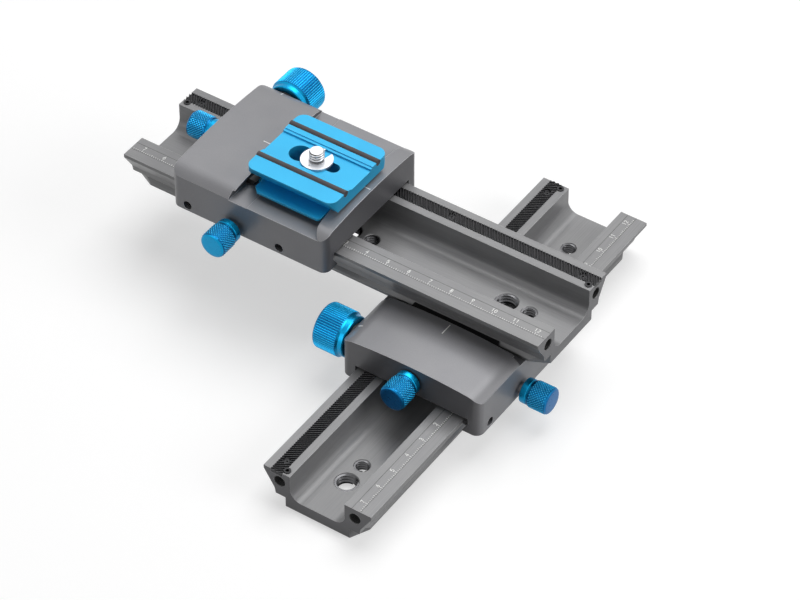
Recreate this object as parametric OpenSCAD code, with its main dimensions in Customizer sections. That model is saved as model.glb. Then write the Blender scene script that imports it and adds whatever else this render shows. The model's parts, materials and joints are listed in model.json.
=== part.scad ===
// Macro focusing rail for a camera: two geared slides crossed at a right angle.
// Each unit is a dovetail rail with a helical rack, a carriage with a pinion drive,
// a lock and a dovetail clamp on top. The lower clamp holds the upper rail, and the
// upper clamp holds a quick plate with a camera screw.
// The origin is the central 3/8 inch socket of the lower rail, at the rail's underside.
// The lower rail runs along Y, the upper rail along X.

/* [Rail] */
// Length of each rail
rail_len = 200; // [180:1:240]
// Width over the wings that the carriage runs on
rail_w = 50; // [48:0.5:56]
// Height from the underside to the top face
rail_h = 17.2; // [16.8:0.1:18]
// Height of the upright edge of a wing
wing_edge_h = 1.6; // [1.2:0.1:2.2]
// Step by which the waist stands out over the foot, on each side
waist_step = 0.6; // [0.3:0.05:1]
// Outward step of the waist where a wing starts
waist_flare = 0.5; // [0.3:0.1:0.8]
// Height at which the wings start
waist_top = 7.6; // [7:0.1:8]
// Width of the dovetail foot
foot_w = 38; // [37:0.1:39]
// Height of the foot up to the ledge of the waist
foot_h = 4.8; // [4.6:0.1:5]
// Height of the upright edge of the foot
foot_edge_h = 1.2; // [1:0.1:1.5]
// Length over which the foot narrows at each end of a rail
foot_cut_len = 8; // [5:0.5:10]
// Depth of that narrowing, on each side
foot_cut_w = 4; // [2:0.5:5]
// Width of a wing's top face, from the rail's side to the channel
wing_w = 12.3; // [12:0.1:13.5]
// Thickness of the floor of the channel
floor_t = 5.2; // [5:0.1:6]
// Radius between floor and wall of the channel
channel_r = 5; // [3:0.5:6]

/* [Sockets] */
// Wall radius of the 3/8 inch sockets
big_socket_r = 4.76; // [4.5:0.01:5]
// Wall radius of the 1/4 inch sockets
small_socket_r = 3.175; // [3:0.005:3.4]
// Distance between the two sockets of a pair
socket_pitch = 10.6; // [10:0.1:12]
// Distance of the outer pairs of sockets from the rail's ends
pair_inset = 25; // [15:1:40]
// Width of the countersink at a socket's mouth
socket_sink = 0.35; // [0.2:0.05:0.6]
// Wall radius of the tapped bores in the end faces
end_bore_r = 2.6; // [2.3:0.05:2.8]
// Depth of the end bores
end_bore_depth = 5.5; // [4:0.1:5.7]
// Distance of the end bores from the rail's side
end_bore_inset = 7.45; // [7.3:0.05:7.7]
// Depth of the end bores' axis below the rail's top face
end_bore_drop = 5; // [4.9:0.05:5.4]

/* [Rack and pinion] */
// Transverse module of the teeth
gear_module = 0.4; // [0.38:0.01:0.42]
// Number of teeth of the pinion
pinion_teeth = 22; // [20:1:24]
// Helix angle of the teeth
helix_angle = 33; // [20:1:35]
// Pressure angle of the teeth
pressure_angle = 20; // [18:1:22]
// Width of the rack
rack_w = 5.4; // [5:0.1:5.8]
// Distance of the rack's centre line from the rail's side
rack_inset = 6.1; // [6:0.05:6.4]
// Depth of the groove that holds the rack
rack_groove_d = 1.8; // [1.5:0.1:2]
// Radius of the drive shaft
shaft_r = 2.5; // [2:0.05:2.8]

/* [Screws on the rail] */
// Distance of the outer rack screws from the rail's ends
rack_screw_inset = 7; // [6.8:0.1:9]
// Number of rack screws on each rail
rack_screws_n = 4; // [2:1:6]
// Shank radius of a rack screw
rack_screw_r = 0.8; // [0.6:0.05:0.9]
// Head radius of a rack screw
rack_screw_head_r = 1.55; // [1.4:0.05:1.7]
// Length of a rack screw below its head
rack_screw_len = 4.6; // [3:0.1:5]
// Radius of the set screws at the rail's ends, which stop the carriage when raised
stop_r = 1.5; // [1.2:0.05:1.6]
// Distance of a stop screw from the rail's end
stop_inset = 2.3; // [2:0.1:3]
// Distance of a stop screw from the rail's side
stop_side = 9.6; // [9.4:0.05:9.8]
// Height of a stop screw above the rail
stop_proud = 0.4; // [0.2:0.05:1.8]
// Depth of a stop screw in the rail
stop_depth = 2; // [1.6:0.1:2.1]

/* [Carriage] */
// Length of the carriage along its rail
car_len = 75.6; // [74:0.1:80]
// Thickness of the carriage's wall behind the gib
side_wall = 5.4; // [5:0.1:7]
// Thickness of the carriage over the rail's space, at the crown
car_roof_t = 13.5; // [13.3:0.1:15]
// Depth of the skirts beside the rail, below its top face
skirt_drop = 6.2; // [5.6:0.1:6.8]
// Radius of the crowned top
crown_r = 280; // [240:10:400]
// Radius of the shoulders between the top and the sides
shoulder_r = 9; // [8:0.1:12]
// Width of the shoulders
shoulder_w = 6.8; // [5:0.1:7]
// Radius of the upright corners
car_corner_r = 3.5; // [2:0.1:5]
// Space between the rail's top face and the carriage
roof_gap = 1.3; // [1.2:0.05:1.45]
// Position of the lower carriage on its rail
lower_car_x = 1.05; // [-40:0.05:40]
// Position of the upper carriage on its rail
upper_car_x = -32.35; // [-50:0.05:20]
// Position of the upper rail in the lower clamp
upper_rail_shift = -58.17; // [-70:0.01:40]

/* [Glides] */
// Thickness of the fixed glide strip
glide_t = 0.85; // [0.7:0.05:1.1]
// Thickness of the adjustable gib
gib_t = 1.9; // [1.6:0.05:2.2]
// Space behind the gib
gib_back_gap = 0.15; // [0.1:0.05:0.3]
// Running gap between a wing and its glides
run_gap = 0.15; // [0.1:0.01:0.2]
// Distance of the glides from the carriage's ends
glide_inset = 3; // [2:0.5:6]
// Width of the glides' legs on top of the rail
glide_leg = 2.2; // [1.5:0.1:2.4]
// Radius of the set screws that press the gib
gib_screw_r = 2; // [1.5:0.05:2.2]
// Distance of the rear gib screw from the carriage's end beside the drive
gib_screw_rear_in = 7.8; // [6.8:0.1:13]
// Distance of the front gib screw from the carriage's other end
gib_screw_front_in = 22.8; // [13:0.1:32]
// Depth of the gib screws' axis below the rail's top face
gib_screw_drop = 3.3; // [3:0.05:3.6]
// Depth of a gib screw's outer end below the carriage's side
gib_screw_sunk = 1.4; // [0.8:0.1:2]

/* [Drive knob] */
// Distance of the drive axis from the carriage's end
drive_inset = 10.3; // [9.3:0.1:10.8]
// Radius of the grip
drive_grip_r = 9.9; // [8.5:0.1:11]
// Length of the grip
drive_grip_len = 10.9; // [8:0.1:12]
// Radius of the collar
drive_collar_r = 8.9; // [8:0.1:9.2]
// Length of the collar
drive_collar_len = 2.2; // [2:0.1:4]
// Length of the bevel between collar and grip
drive_bevel = 1; // [0.6:0.1:1.4]
// Radius of the grip's outer edge
drive_edge_r = 1.5; // [0.6:0.1:1.8]
// Number of ribs round the grip
drive_ribs = 60; // [40:2:72]
// Depth of the ribs
drive_rib_d = 0.35; // [0.2:0.05:0.5]
// Radius of the bush's flange
bush_flange_r = 6.6; // [6:0.1:8]
// Thickness of the bush's flange
bush_flange_t = 0.5; // [0.4:0.1:3]

/* [Small knobs] */
// Radius of the knurled grip
grip_r = 5.9; // [5:0.1:6.5]
// Length of the knurled grip
grip_len = 8.9; // [7:0.1:11]
// Radius of the collar
collar_r = 5.4; // [4.6:0.1:6]
// Length of the collar
collar_len = 3; // [2:0.1:4]
// Length of the neck between collar and grip
neck_len = 0.5; // [0.3:0.1:1]
// Radius of the lock screw
lock_screw_r = 2.5; // [2:0.05:2.8]
// Distance of the lock axis from the carriage's end beside the drive
lock_inset = 30.3; // [26:0.1:37]
// Depth of the lock axis below the rail's top face
lock_drop = 3.2; // [3.1:0.05:3.4]
// Distance of the open lock's knob from the carriage's side
lock_knob_gap = 1.9; // [1.5:0.1:3]
// Distance of the lock's pad from the gib while open
lock_gap = 0.3; // [0.2:0.05:0.4]
// Radius of the clamp screw
clamp_screw_r = 3; // [2.5:0.05:3.2]
// Distance of the closed clamp's knob from the carriage's end
clamp_knob_gap = 0.4; // [0.3:0.05:1]

/* [Clamp] */
// Distance from the clamped foot to the carriage's end behind the fixed jaw
clamp_end = 5.25; // [4.8:0.05:6]
// Depth of the clamp's floor below the crown
clamp_depth = 4.6; // [4.6:0.05:5]
// Space between the clamp's floor and the foot
seat_gap = 0.1; // [0.05:0.01:0.2]
// Space between a jaw and the foot's flank
jaw_gap = 0.3; // [0.2:0.05:0.4]
// Distance from the foot to the lip of the block that holds the moving jaw
lip_gap = 2.85; // [2.6:0.05:3.4]
// Thickness of the moving jaw
jaw_t = 2.65; // [2.3:0.05:2.75]
// Distance of the moving jaw's ends from the carriage's sides
jaw_side = 12.6; // [10.6:0.1:16]
// Length of the moving jaw at its foot
jaw_len = 11.1; // [10.5:0.1:12]
// Way that the moving jaw opens
jaw_travel = 4; // [3:0.1:4.4]
// Half the width of the boss under the jaw
boss_half = 7; // [6:0.1:9]
// Length of the boss
boss_len = 7.7; // [7.2:0.1:8.2]
// Depth of the clamp screw's axis below the clamp's floor
clamp_screw_drop = 2.7; // [2.7:0.05:3]
// Depth of the relief beside the moving jaw
relief_d = 0.25; // [0.2:0.01:0.35]

/* [Quick plate] */
// Distance by which the plate overhangs its foot, on each side
plate_overhang = 2.3; // [1.5:0.1:3.5]
// Width of the plate across the upper rail
plate_w = 39.2; // [38:0.1:42]
// Thickness of the plate above its foot
plate_t = 6.3; // [5.8:0.1:7]
// Distance by which the plate's front and rear faces lean in towards its underside
plate_lean = 3.6; // [2:0.1:4.5]
// Height of the upright edge over the leaning faces
plate_edge_h = 0.6; // [0.4:0.1:1.5]
// Distance of the foot's ends from the plate's front and rear
foot_end_inset = 6; // [5:0.1:8]
// Radius of the plate's corners
plate_corner_r = 4; // [2:0.1:6]
// Height of the plate's foot
plate_foot_h = 5.6; // [5.4:0.1:6]
// Position of the plate across the upper rail
plate_y = -3.5; // [-8:0.1:4]
// Distance of the tongue's sides from the plate's sides
tongue_inset = 5.1; // [4.8:0.1:7]
// Reach of the tongue in front of the plate
tongue_reach = 2.4; // [2:0.1:5]
// Thickness of the tongue
tongue_t = 1; // [0.8:0.1:2]
// Height of the tongue's top above the foot's underside
tongue_top = 3.5; // [3.2:0.1:4]
// Depth of the sunk band along the plate
band_d = 1.2; // [0.8:0.1:1.6]
// Front edge of the sunk band
band_front = -6.9; // [-8:0.1:-6.8]
// Rear edge of the sunk band
band_rear = 6.9; // [6.8:0.1:8]
// Depth of the ledges beside the band
ledge_d = 0.4; // [0.2:0.05:0.6]
// Width of the ledges
ledge_w = 1.3; // [1:0.1:1.7]
// Radius of the rubber cords
cord_r = 1.4; // [1.2:0.05:1.6]
// Height of the cords above the plate
cord_proud = 0.8; // [0.6:0.05:1]
// Place of the front cord
cord_front = -10.4; // [-11:0.1:-10]
// Place of the rear cord
cord_rear = 12.2; // [11:0.1:13]

/* [Camera screw] */
// Radius of the thread
stud_r = 3.175; // [3:0.005:3.4]
// Height of the thread above the washer
stud_len = 4.3; // [3.8:0.1:5]
// Radius of the shank in the slot
shank_r = 2.5; // [2.2:0.05:2.6]
// Radius of the head under the plate
head_r = 6; // [5.5:0.1:6.4]
// Thickness of the head
head_t = 2.8; // [2.4:0.1:3]
// Half the length of the keyhole slot between its ends' centres
slot_half = 8; // [7:0.1:8.4]
// Radius of the slot's wide end
slot_wide_r = 4.7; // [4:0.1:5]
// Clearance between shank and slot
slot_gap = 0.2; // [0.1:0.05:0.3]
// Radius of the clip washer
washer_r = 6.7; // [6.4:0.1:6.7]
// Thickness of the clip washer
washer_t = 1; // [0.8:0.1:1.2]
// Width of the washer's open slot
notch_w = 3.8; // [3:0.1:4.6]
// Direction of that slot
notch_turn = 76; // [0:1:90]

/* [Hidden] */
$fn = 96;
// Segments of the very large crown radius
crown_fn = 1440;
// Flats that make up an upright corner of the carriage
corner_flats = 10;
// Overrun of every cut
over = 1;
// Play of a piece that is fixed in its seat
seat_play = 0.02;
// Radial play of a turning shaft or screw in its bore
turn_play = 0.05;
// Play of a sliding piece beside its guide
slide_play = 0.2;
// Play between the ends of pieces that turn against each other
end_play = 0.3;
// Play between a turned screw's end and the piece that it pushes
push_play = 0.05;
// Bottom chamfer of the knobs' outer ends
knob_chamfer = 0.5;
// Draw-in of the collar's edges
collar_chamfer = 0.4;
// Draw-in of the knobs' necks
neck_d = 0.8;
// Way that a screw or shaft stays short of its knob's outer end
knob_wall = 2.4;
// Wall of material under a rail screw and beside a bore
thin_wall = 0.15;
// Depth and radius of the sockets in set screws
hex_depth = 1.2;
hex_share = 0.55;
// Radius of the set screws in the drive knobs
grub_r = 0.9;
grub_len = 5;
// Tip radius of a gib screw
dog_r = 1;
// Width of the slot in the camera screw's head
coin_w = 1.6;
coin_d = 1.2;
// Chamfer at the tip of a thread
tip_chamfer = 0.6;
// Mark on the washer
dot_r = 0.35;
dot_d = 0.4;
dot_at = 4.9;
dot_turn = 191;
// Chamfer and radius of the tongue's corners
tongue_chamfer = 2.4;
tongue_r = 1.6;
// Pinion: how much narrower than the rack on each side, play round its teeth, slices
pinion_inset = 0.2;
pinion_pocket = 0.5;
pinion_slices = 12;
// Teeth: heights over and under the pitch line and thinning, as shares
addendum_share = 1;
dedendum_share = 1.35;
pinion_dedendum_share = 1.25;
thinning_share = 0.08;
// Reach of the shaft's inner bearing and height of the shoulder beside the pinion
bearing_len = 4.9;
shoulder_h = 0.4;
// Thickness of the neck and head with which the clamp screw hangs in the boss
clamp_neck_len = 1.9;
clamp_neck_d = 1;
clamp_head_len = 1.6;
// Material round the clamp screw's head in the boss
boss_under = 0.5;

// Rail
wing_z = rail_h - wing_edge_h;
waist_w = foot_w + 2 * waist_step;
channel_w = rail_w - 2 * wing_w;
pair_pitch = rail_len / 2 - pair_inset;
end_bore_y = rail_w / 2 - end_bore_inset;
rack_y = rail_w / 2 - rack_inset;
stop_y = rail_w / 2 - stop_side;
wing_start = waist_w / 2 + waist_flare;
wing_slope = (rail_w / 2 - wing_start) / (wing_z - waist_top);
neck_half = foot_w / 2 - (foot_h - foot_edge_h);
end_bore_z = rail_h - end_bore_drop;
// Teeth
pitch = PI * gear_module;
pitch_r = gear_module * pinion_teeth / 2;
addendum = gear_module * addendum_share;
dedendum = gear_module * dedendum_share;
pinion_tip_r = pitch_r + addendum;
pinion_root_r = pitch_r - gear_module * pinion_dedendum_share;
pinion_w = rack_w - 2 * pinion_inset;
// Carriage: heights, walls and places along it
open_top = rail_h + roof_gap;
car_bottom = rail_h - skirt_drop;
car_top = open_top + car_roof_t;
wall_right = rail_w / 2 + run_gap + glide_t;
wall_left = rail_w / 2 + run_gap + gib_t + gib_back_gap;
side_y = wall_left + side_wall;
// Inner edge of the skirt beside the gib, at its underside
skirt_in = wall_left - (wing_z - car_bottom) * wing_slope;
drive_x = -car_len / 2 + drive_inset;
lock_x = -car_len / 2 + lock_inset;
gib_screw_rear_x = -car_len / 2 + gib_screw_rear_in;
gib_screw_front_x = car_len / 2 - gib_screw_front_in;
// Drive
drive_z = rail_h + pitch_r;
drive_bore_r = pinion_tip_r + pinion_pocket;
pinion_y0 = rack_y - pinion_w / 2;
pinion_y1 = rack_y + pinion_w / 2;
flange_y1 = side_y + bush_flange_t;
drive_knob_y0 = flange_y1 + end_play;
drive_knob_y1 = drive_knob_y0 + drive_collar_len + drive_bevel + drive_grip_len;
// Small knobs
knob_len = collar_len + neck_len + grip_len;
lock_z = rail_h - lock_drop;
lock_pad_r = lock_screw_r - turn_play;
// Clamp
clamp_floor = car_top - clamp_depth;
seat_z = clamp_floor + seat_gap;
foot_right = car_len / 2 - clamp_end;
foot_x = foot_right - foot_w / 2;
foot_left = foot_right - foot_w;
jaw_half = side_y - jaw_side;
// Horizontal distance of a 45 degree face that leaves the jaw gap
flank_gap = jaw_gap * sqrt(2);
lip_x = foot_left - lip_gap;
jaw_tip = foot_left - flank_gap;
jaw_back = jaw_tip - jaw_len;
slot_back = jaw_back - jaw_travel - end_play;
relief_floor = clamp_floor - relief_d;
jaw_z0 = clamp_floor;
jaw_z1 = jaw_z0 + jaw_t;
slot_top = jaw_z1 + slide_play;
relief_end = lip_x + boss_len + slide_play;
clamp_z = clamp_floor - clamp_screw_drop;
boss_z0 = clamp_z - clamp_screw_r - boss_under;
pocket_z0 = boss_z0 - slide_play;
clamp_knob_x1 = -car_len / 2 - clamp_knob_gap;
// Plate, with heights over the foot's underside
plate_len = foot_w + 2 * plate_overhang;
tongue_len = plate_len - 2 * tongue_inset;
plate_neck_half = foot_w / 2 - (foot_h - foot_edge_h);
plate_top = plate_foot_h + plate_t;
band_z = plate_top - band_d;
head_ceiling = head_t + end_play + seat_gap + seat_play;
slot_r = shank_r + slot_gap;
washer_z0 = band_z + push_play;
washer_z1 = washer_z0 + washer_t;
stud_z0 = washer_z1 + push_play;

// Half width of a wing at height z
function wing_y(z) = rail_w / 2 - max(0, wing_z - z) * wing_slope;

// Involute of an angle, in radians
function inv(a) = tan(a) - a * PI / 180;

// Half angle of a pinion tooth at radius rho, in degrees
function tooth_half(rho) =
    (pitch * (1 / 2 - thinning_share) / (2 * pitch_r) + inv(pressure_angle)
        - inv(acos(min(1, pitch_r * cos(pressure_angle) / rho)))) * 180 / PI;

// Turn that puts a tooth of the pinion in a gap of the rack, for a pinion at x
function pinion_turn(x) = (pitch / 2 - x) / pitch_r * 180 / PI;

module lower_unit() {
    translate([0, socket_pitch / 2, 0]) rotate([0, 0, 90]) children();
}

module upper_unit() {
    lower_unit()
        translate([lower_car_x + foot_x, -upper_rail_shift, seat_z])
        rotate([0, 0, -90]) children();
}

module on_lower_car() {
    lower_unit() translate([lower_car_x, 0, 0]) children();
}

module on_upper_car() {
    upper_unit() translate([upper_car_x, 0, 0]) children();
}

// A section drawn in Y and Z, carried along X from x0 to x1
module along_x(x0, x1) {
    translate([x0, 0, 0]) rotate([90, 0, 90]) linear_extrude(height = x1 - x0) children();
}

// A section drawn in X and Z, carried along Y from y0 to y1
module along_y(y0, y1) {
    translate([0, y1, 0]) rotate([90, 0, 0]) linear_extrude(height = y1 - y0) children();
}

module rod_x(r, x0, x1) {
    translate([x0, 0, 0]) rotate([0, 90, 0]) cylinder(r = r, h = x1 - x0);
}

module rod_y(r, y0, y1) {
    translate([0, y0, 0]) rotate([-90, 0, 0]) cylinder(r = r, h = y1 - y0);
}

module rod_z(r, z0, z1) {
    translate([0, 0, z0]) cylinder(r = r, h = z1 - z0);
}

module box(x0, x1, y0, y1, z0, z1) {
    translate([x0, y0, z0]) cube([x1 - x0, y1 - y0, z1 - z0]);
}

// Rectangle with round corners
module round_rect(l, w, r) {
    square([l - 2 * r, w], center = true);
    square([l, w - 2 * r], center = true);
    for (sx = [-1, 1], sy = [-1, 1]) {
        translate([sx * (l / 2 - r), sy * (w / 2 - r)]) circle(r = r);
    }
}

// Hexagonal socket at the end of a set screw, along Z downward from z
module hex_socket(r, z) {
    translate([0, 0, z - hex_depth]) cylinder(r = r * hex_share, h = hex_depth + over, $fn = 6);
}

// The rail: its section, its channel and everything cut into it

module rail_outline() {
    half = [
        [rail_w / 2, rail_h], [rail_w / 2, wing_z], [wing_start, waist_top],
        [waist_w / 2, foot_h], [neck_half, foot_h],
        [foot_w / 2, foot_edge_h], [foot_w / 2, 0]
    ];
    n = len(half);
    polygon(concat(half, [for (i = [n - 1:-1:0]) [-half[i][0], half[i][1]]]));
}

module channel_outline() {
    translate([-channel_w / 2, floor_t + channel_r]) square([channel_w, rail_h]);
    translate([-channel_w / 2 + channel_r, floor_t])
        square([channel_w - 2 * channel_r, rail_h]);
    for (s = [-1, 1]) {
        translate([s * (channel_w / 2 - channel_r), floor_t + channel_r])
            circle(r = channel_r);
    }
}

module socket_cut(r) {
    rod_z(r, -over, floor_t + over);
    translate([0, 0, floor_t - socket_sink])
        cylinder(r1 = r, r2 = r + socket_sink + over, h = socket_sink + over);
}

// Places of the rack screws along the rail
function rack_screw_x(i) =
    -(rail_len / 2 - rack_screw_inset)
    + i * (rail_len - 2 * rack_screw_inset) / (rack_screws_n - 1);

module rail_body() {
    difference() {
        along_x(-rail_len / 2, rail_len / 2) difference() {
            rail_outline();
            channel_outline();
        }
        for (i = [-1:1]) {
            translate([i * pair_pitch - socket_pitch / 2, 0, 0]) socket_cut(big_socket_r);
            translate([i * pair_pitch + socket_pitch / 2, 0, 0]) socket_cut(small_socket_r);
        }
        for (s = [-1, 1], e = [0, 1]) {
            translate([0, s * end_bore_y, end_bore_z]) mirror([e, 0, 0])
                rod_x(end_bore_r, rail_len / 2 - end_bore_depth, rail_len / 2 + over);
        }
        box(-rail_len / 2 - over, rail_len / 2 + over,
            rack_y - rack_w / 2 - turn_play, rack_y + rack_w / 2 + turn_play,
            rail_h - rack_groove_d, rail_h + over);
        for (e = [0, 1], s = [0, 1]) {
            mirror([e, 0, 0]) mirror([0, s, 0]) foot_end_cut();
        }
        for (i = [0:rack_screws_n - 1]) {
            translate([rack_screw_x(i), rack_y, 0])
                rod_z(rack_screw_r + seat_play,
                    rack_head_z() - rack_screw_len - end_play, rail_h);
        }
        for (s = [-1, 1]) {
            translate([s * (rail_len / 2 - stop_inset), stop_y, 0])
                rod_z(stop_r + seat_play, rail_h - stop_depth, rail_h + over);
        }
    }
}

// Wedge that narrows the foot at one end
module foot_end_cut() {
    run = foot_cut_w / foot_cut_len;
    translate([0, 0, -over]) linear_extrude(height = foot_h + over) polygon([
        [rail_len / 2 - foot_cut_len, foot_w / 2],
        [rail_len / 2 - foot_cut_len, foot_w / 2 + over],
        [rail_len / 2 + over, foot_w / 2 + over],
        [rail_len / 2 + over, foot_w / 2 - foot_cut_w - over * run]
    ]);
}

// The rack in its groove, with the screws that hold it and the stop screws

rack_root_z = rail_h - dedendum;
rack_tip_z = rail_h + addendum;
rack_bottom_z = rail_h - rack_groove_d;

// Height of the flat top of a rack screw's head, below the teeth's roots
function rack_head_z() = rack_root_z - thin_wall;

// Section of the rack across its teeth: one tooth is centred on x = 0 in the middle
module rack_teeth_outline() {
    pn = pitch * cos(helix_angle);
    lean = tan(pressure_angle) * cos(helix_angle);
    half = pn * (1 / 4 - thinning_share / 2);
    n = ceil((rail_len / 2 * cos(helix_angle) + rack_w * sin(helix_angle)) / pn) + 1;
    tip = half - addendum * lean;
    root = half + dedendum * lean;
    pts = [for (i = [-n:n]) each [
        [i * pn - root, rack_root_z], [i * pn - tip, rack_tip_z],
        [i * pn + tip, rack_tip_z], [i * pn + root, rack_root_z]
    ]];
    polygon(concat(pts, [
        [(n + 1) * pn, rack_root_z], [(n + 1) * pn, rack_bottom_z - over],
        [-(n + 1) * pn, rack_bottom_z - over], [-(n + 1) * pn, rack_root_z]
    ]));
}

module rack_body() {
    reach = rail_len / 2 * sin(helix_angle) + rack_w;
    difference() {
        intersection() {
            box(-rail_len / 2, rail_len / 2, rack_y - rack_w / 2, rack_y + rack_w / 2,
                rack_bottom_z, rack_tip_z + over);
            translate([0, rack_y, 0]) rotate([0, 0, helix_angle])
                along_y(-reach, reach) rack_teeth_outline();
        }
        for (i = [0:rack_screws_n - 1]) {
            translate([rack_screw_x(i), rack_y, 0]) {
                rod_z(rack_screw_r + seat_play, rack_bottom_z - over, rack_tip_z + over);
                rod_z(rack_screw_head_r + seat_play, rack_head_z(), rack_tip_z + over);
                rack_screw_cone(seat_play);
            }
        }
        for (s = [-1, 1]) {
            translate([s * (rail_len / 2 - stop_inset), stop_y, 0])
                rod_z(stop_r + slide_play, rack_bottom_z - over, rack_tip_z + over);
        }
    }
}

module rack_screw_cone(play) {
    cone_h = rack_screw_head_r - rack_screw_r;
    translate([0, 0, rack_head_z() - cone_h])
        cylinder(r1 = rack_screw_r + play, r2 = rack_screw_head_r + play, h = cone_h);
}

module rack_screw_set() {
    for (i = [0:rack_screws_n - 1]) {
        translate([rack_screw_x(i), rack_y, 0]) difference() {
            union() {
                rack_screw_cone(0);
                rod_z(rack_screw_r, rack_head_z() - rack_screw_len, rack_head_z());
            }
            translate([0, 0, rack_head_z() - rack_screw_r])
                cylinder(r = rack_screw_r * hex_share, h = rack_screw_r + over, $fn = 6);
        }
    }
}

module stop_screw_set() {
    for (s = [-1, 1]) {
        translate([s * (rail_len / 2 - stop_inset), stop_y, 0]) difference() {
            rod_z(stop_r, rail_h - stop_depth, rail_h + stop_proud);
            hex_socket(stop_r, rail_h + stop_proud);
        }
    }
}

// The carriage with its glides

module car_outline() {
    cy = side_y - shoulder_w;
    cz = car_top - crown_r + sqrt(pow(crown_r - shoulder_r, 2) - cy * cy);
    // Point where the shoulder meets the crown
    k = crown_r / (crown_r - shoulder_r);
    ty = cy * k;
    tz = (car_top - crown_r) + (cz - (car_top - crown_r)) * k;
    difference() {
        intersection() {
            translate([0, car_top - crown_r]) circle(r = crown_r, $fn = crown_fn);
            translate([-side_y, car_bottom]) square([2 * side_y, car_top]);
        }
        for (s = [-1, 1]) {
            difference() {
                polygon([
                    [s * cy, cz], [s * (side_y + over), cz],
                    [s * (side_y + over), car_top + over],
                    [s * (cy + (ty - cy) * (shoulder_r + over) / shoulder_r),
                        cz + (tz - cz) * (shoulder_r + over) / shoulder_r]
                ]);
                translate([s * cy, cz]) circle(r = shoulder_r);
            }
        }
    }
}

// Space for the rail, glides included
module open_outline() {
    drop = wing_z - car_bottom + over;
    polygon([
        [-wall_left, open_top], [-wall_left, wing_z],
        [-wall_left + drop * wing_slope, wing_z - drop],
        [wall_right - drop * wing_slope, wing_z - drop],
        [wall_right, wing_z], [wall_right, open_top]
    ]);
}

// Space of the foot between the jaws: an undercut on the right, a plain lip on the left
module clamp_outline() {
    polygon([
        [lip_x, clamp_floor],
        [foot_right + flank_gap + foot_edge_h + seat_gap, clamp_floor],
        [foot_right + flank_gap + foot_edge_h + seat_gap - clamp_depth - over,
            car_top + over],
        [lip_x, car_top + over]
    ]);
}

// What the upright corner radius takes away at one corner, in short flats
module car_corner_cut() {
    n = corner_flats;
    translate([car_len / 2 - car_corner_r, side_y - car_corner_r, car_bottom - over])
        linear_extrude(height = car_top) polygon(concat(
            [for (i = [0:n]) car_corner_r * [cos(90 * i / n), sin(90 * i / n)]],
            [[0, car_corner_r + over], [car_corner_r + over, car_corner_r + over],
                [car_corner_r + over, 0]]
        ));
}

module car_body() {
    difference() {
        along_x(-car_len / 2, car_len / 2) car_outline();
        for (ex = [0, 1], ey = [0, 1]) {
            mirror([ex, 0, 0]) mirror([0, ey, 0]) car_corner_cut();
        }
        along_x(-car_len / 2 - over, car_len / 2 + over) open_outline();
        along_y(-side_y - over, side_y + over) clamp_outline();
        // Relief of the floor beside the moving jaw
        box(lip_x - over, relief_end, -side_y - over, side_y + over, relief_floor, jaw_z1);
        // Slot for the jaw, and pocket for its boss
        box(slot_back, lip_x + over, -jaw_half - end_play, jaw_half + end_play,
            relief_floor, slot_top);
        box(slot_back, relief_end, -boss_half - slide_play, boss_half + slide_play,
            pocket_z0, slot_top);
        // Clamp screw
        translate([0, 0, clamp_z])
            rod_x(clamp_screw_r + turn_play, -car_len / 2 - over, slot_back + over);
        // Drive: bore for pinion and bush, and the blind bearing behind it
        translate([drive_x, 0, drive_z]) {
            rod_y(drive_bore_r, pinion_y0 - end_play, side_y + over);
            rod_y(shaft_r + turn_play, pinion_y0 - end_play - bearing_len, pinion_y0);
        }
        // Lock screw and gib screws
        translate([lock_x, 0, lock_z])
            rod_y(lock_screw_r + turn_play, -side_y - over, over - skirt_in);
        for (x = [gib_screw_rear_x, gib_screw_front_x]) {
            translate([x, 0, rail_h - gib_screw_drop])
                rod_y(gib_screw_r + seat_play, -side_y - over, over - skirt_in);
        }
    }
}

// Section of a glide that wraps a wing on the +Y side: t is its thickness
module glide_outline(t, top_play) {
    zb = car_bottom + end_play;
    inner = rail_w / 2 + run_gap;
    polygon([
        [rail_w / 2 - glide_leg, rail_h + run_gap], [inner, rail_h + run_gap],
        [inner, wing_z], [wing_y(zb) + run_gap, zb],
        [wing_y(zb) + run_gap + t, zb], [inner + t, wing_z],
        [inner + t, open_top - top_play],
        [rail_w / 2 - glide_leg, open_top - top_play]
    ]);
}

module glide_body() {
    along_x(-car_len / 2 + glide_inset, car_len / 2 - glide_inset)
        glide_outline(glide_t, 0);
}

module gib_body() {
    mirror([0, 1, 0]) along_x(-car_len / 2 + glide_inset, car_len / 2 - glide_inset)
        glide_outline(gib_t, gib_back_gap);
}

// Place of the gib's back at height z
function gib_back_y(z) = wing_y(z) + run_gap + gib_t;

module gib_screw_set() {
    z = rail_h - gib_screw_drop;
    tip = gib_back_y(min(wing_z, z + dog_r)) + push_play;
    for (x = [gib_screw_rear_x, gib_screw_front_x]) {
        translate([x, 0, z]) difference() {
            union() {
                rod_y(gib_screw_r, -side_y + gib_screw_sunk, -wall_left);
                rod_y(dog_r, -side_y + gib_screw_sunk, -tip);
            }
            translate([0, -side_y + gib_screw_sunk, 0]) rotate([90, 0, 0])
                hex_socket(gib_screw_r, 0);
        }
    }
}

// The drive: bush, shaft, pinion, knob and its set screw

module bush_body() {
    translate([drive_x, 0, drive_z]) difference() {
        union() {
            rod_y(drive_bore_r - seat_play, wall_right + thin_wall, flange_y1);
            rod_y(bush_flange_r, side_y, flange_y1);
        }
        rod_y(shaft_r + turn_play, 0, flange_y1 + over);
    }
}

module shaft_body() {
    translate([drive_x, 0, drive_z]) {
        rod_y(shaft_r, pinion_y0 - bearing_len, drive_knob_y1 - knob_wall);
        rod_y(shaft_r + shoulder_h, pinion_y1 + seat_play, wall_right + thin_wall - slide_play);
    }
}

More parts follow.
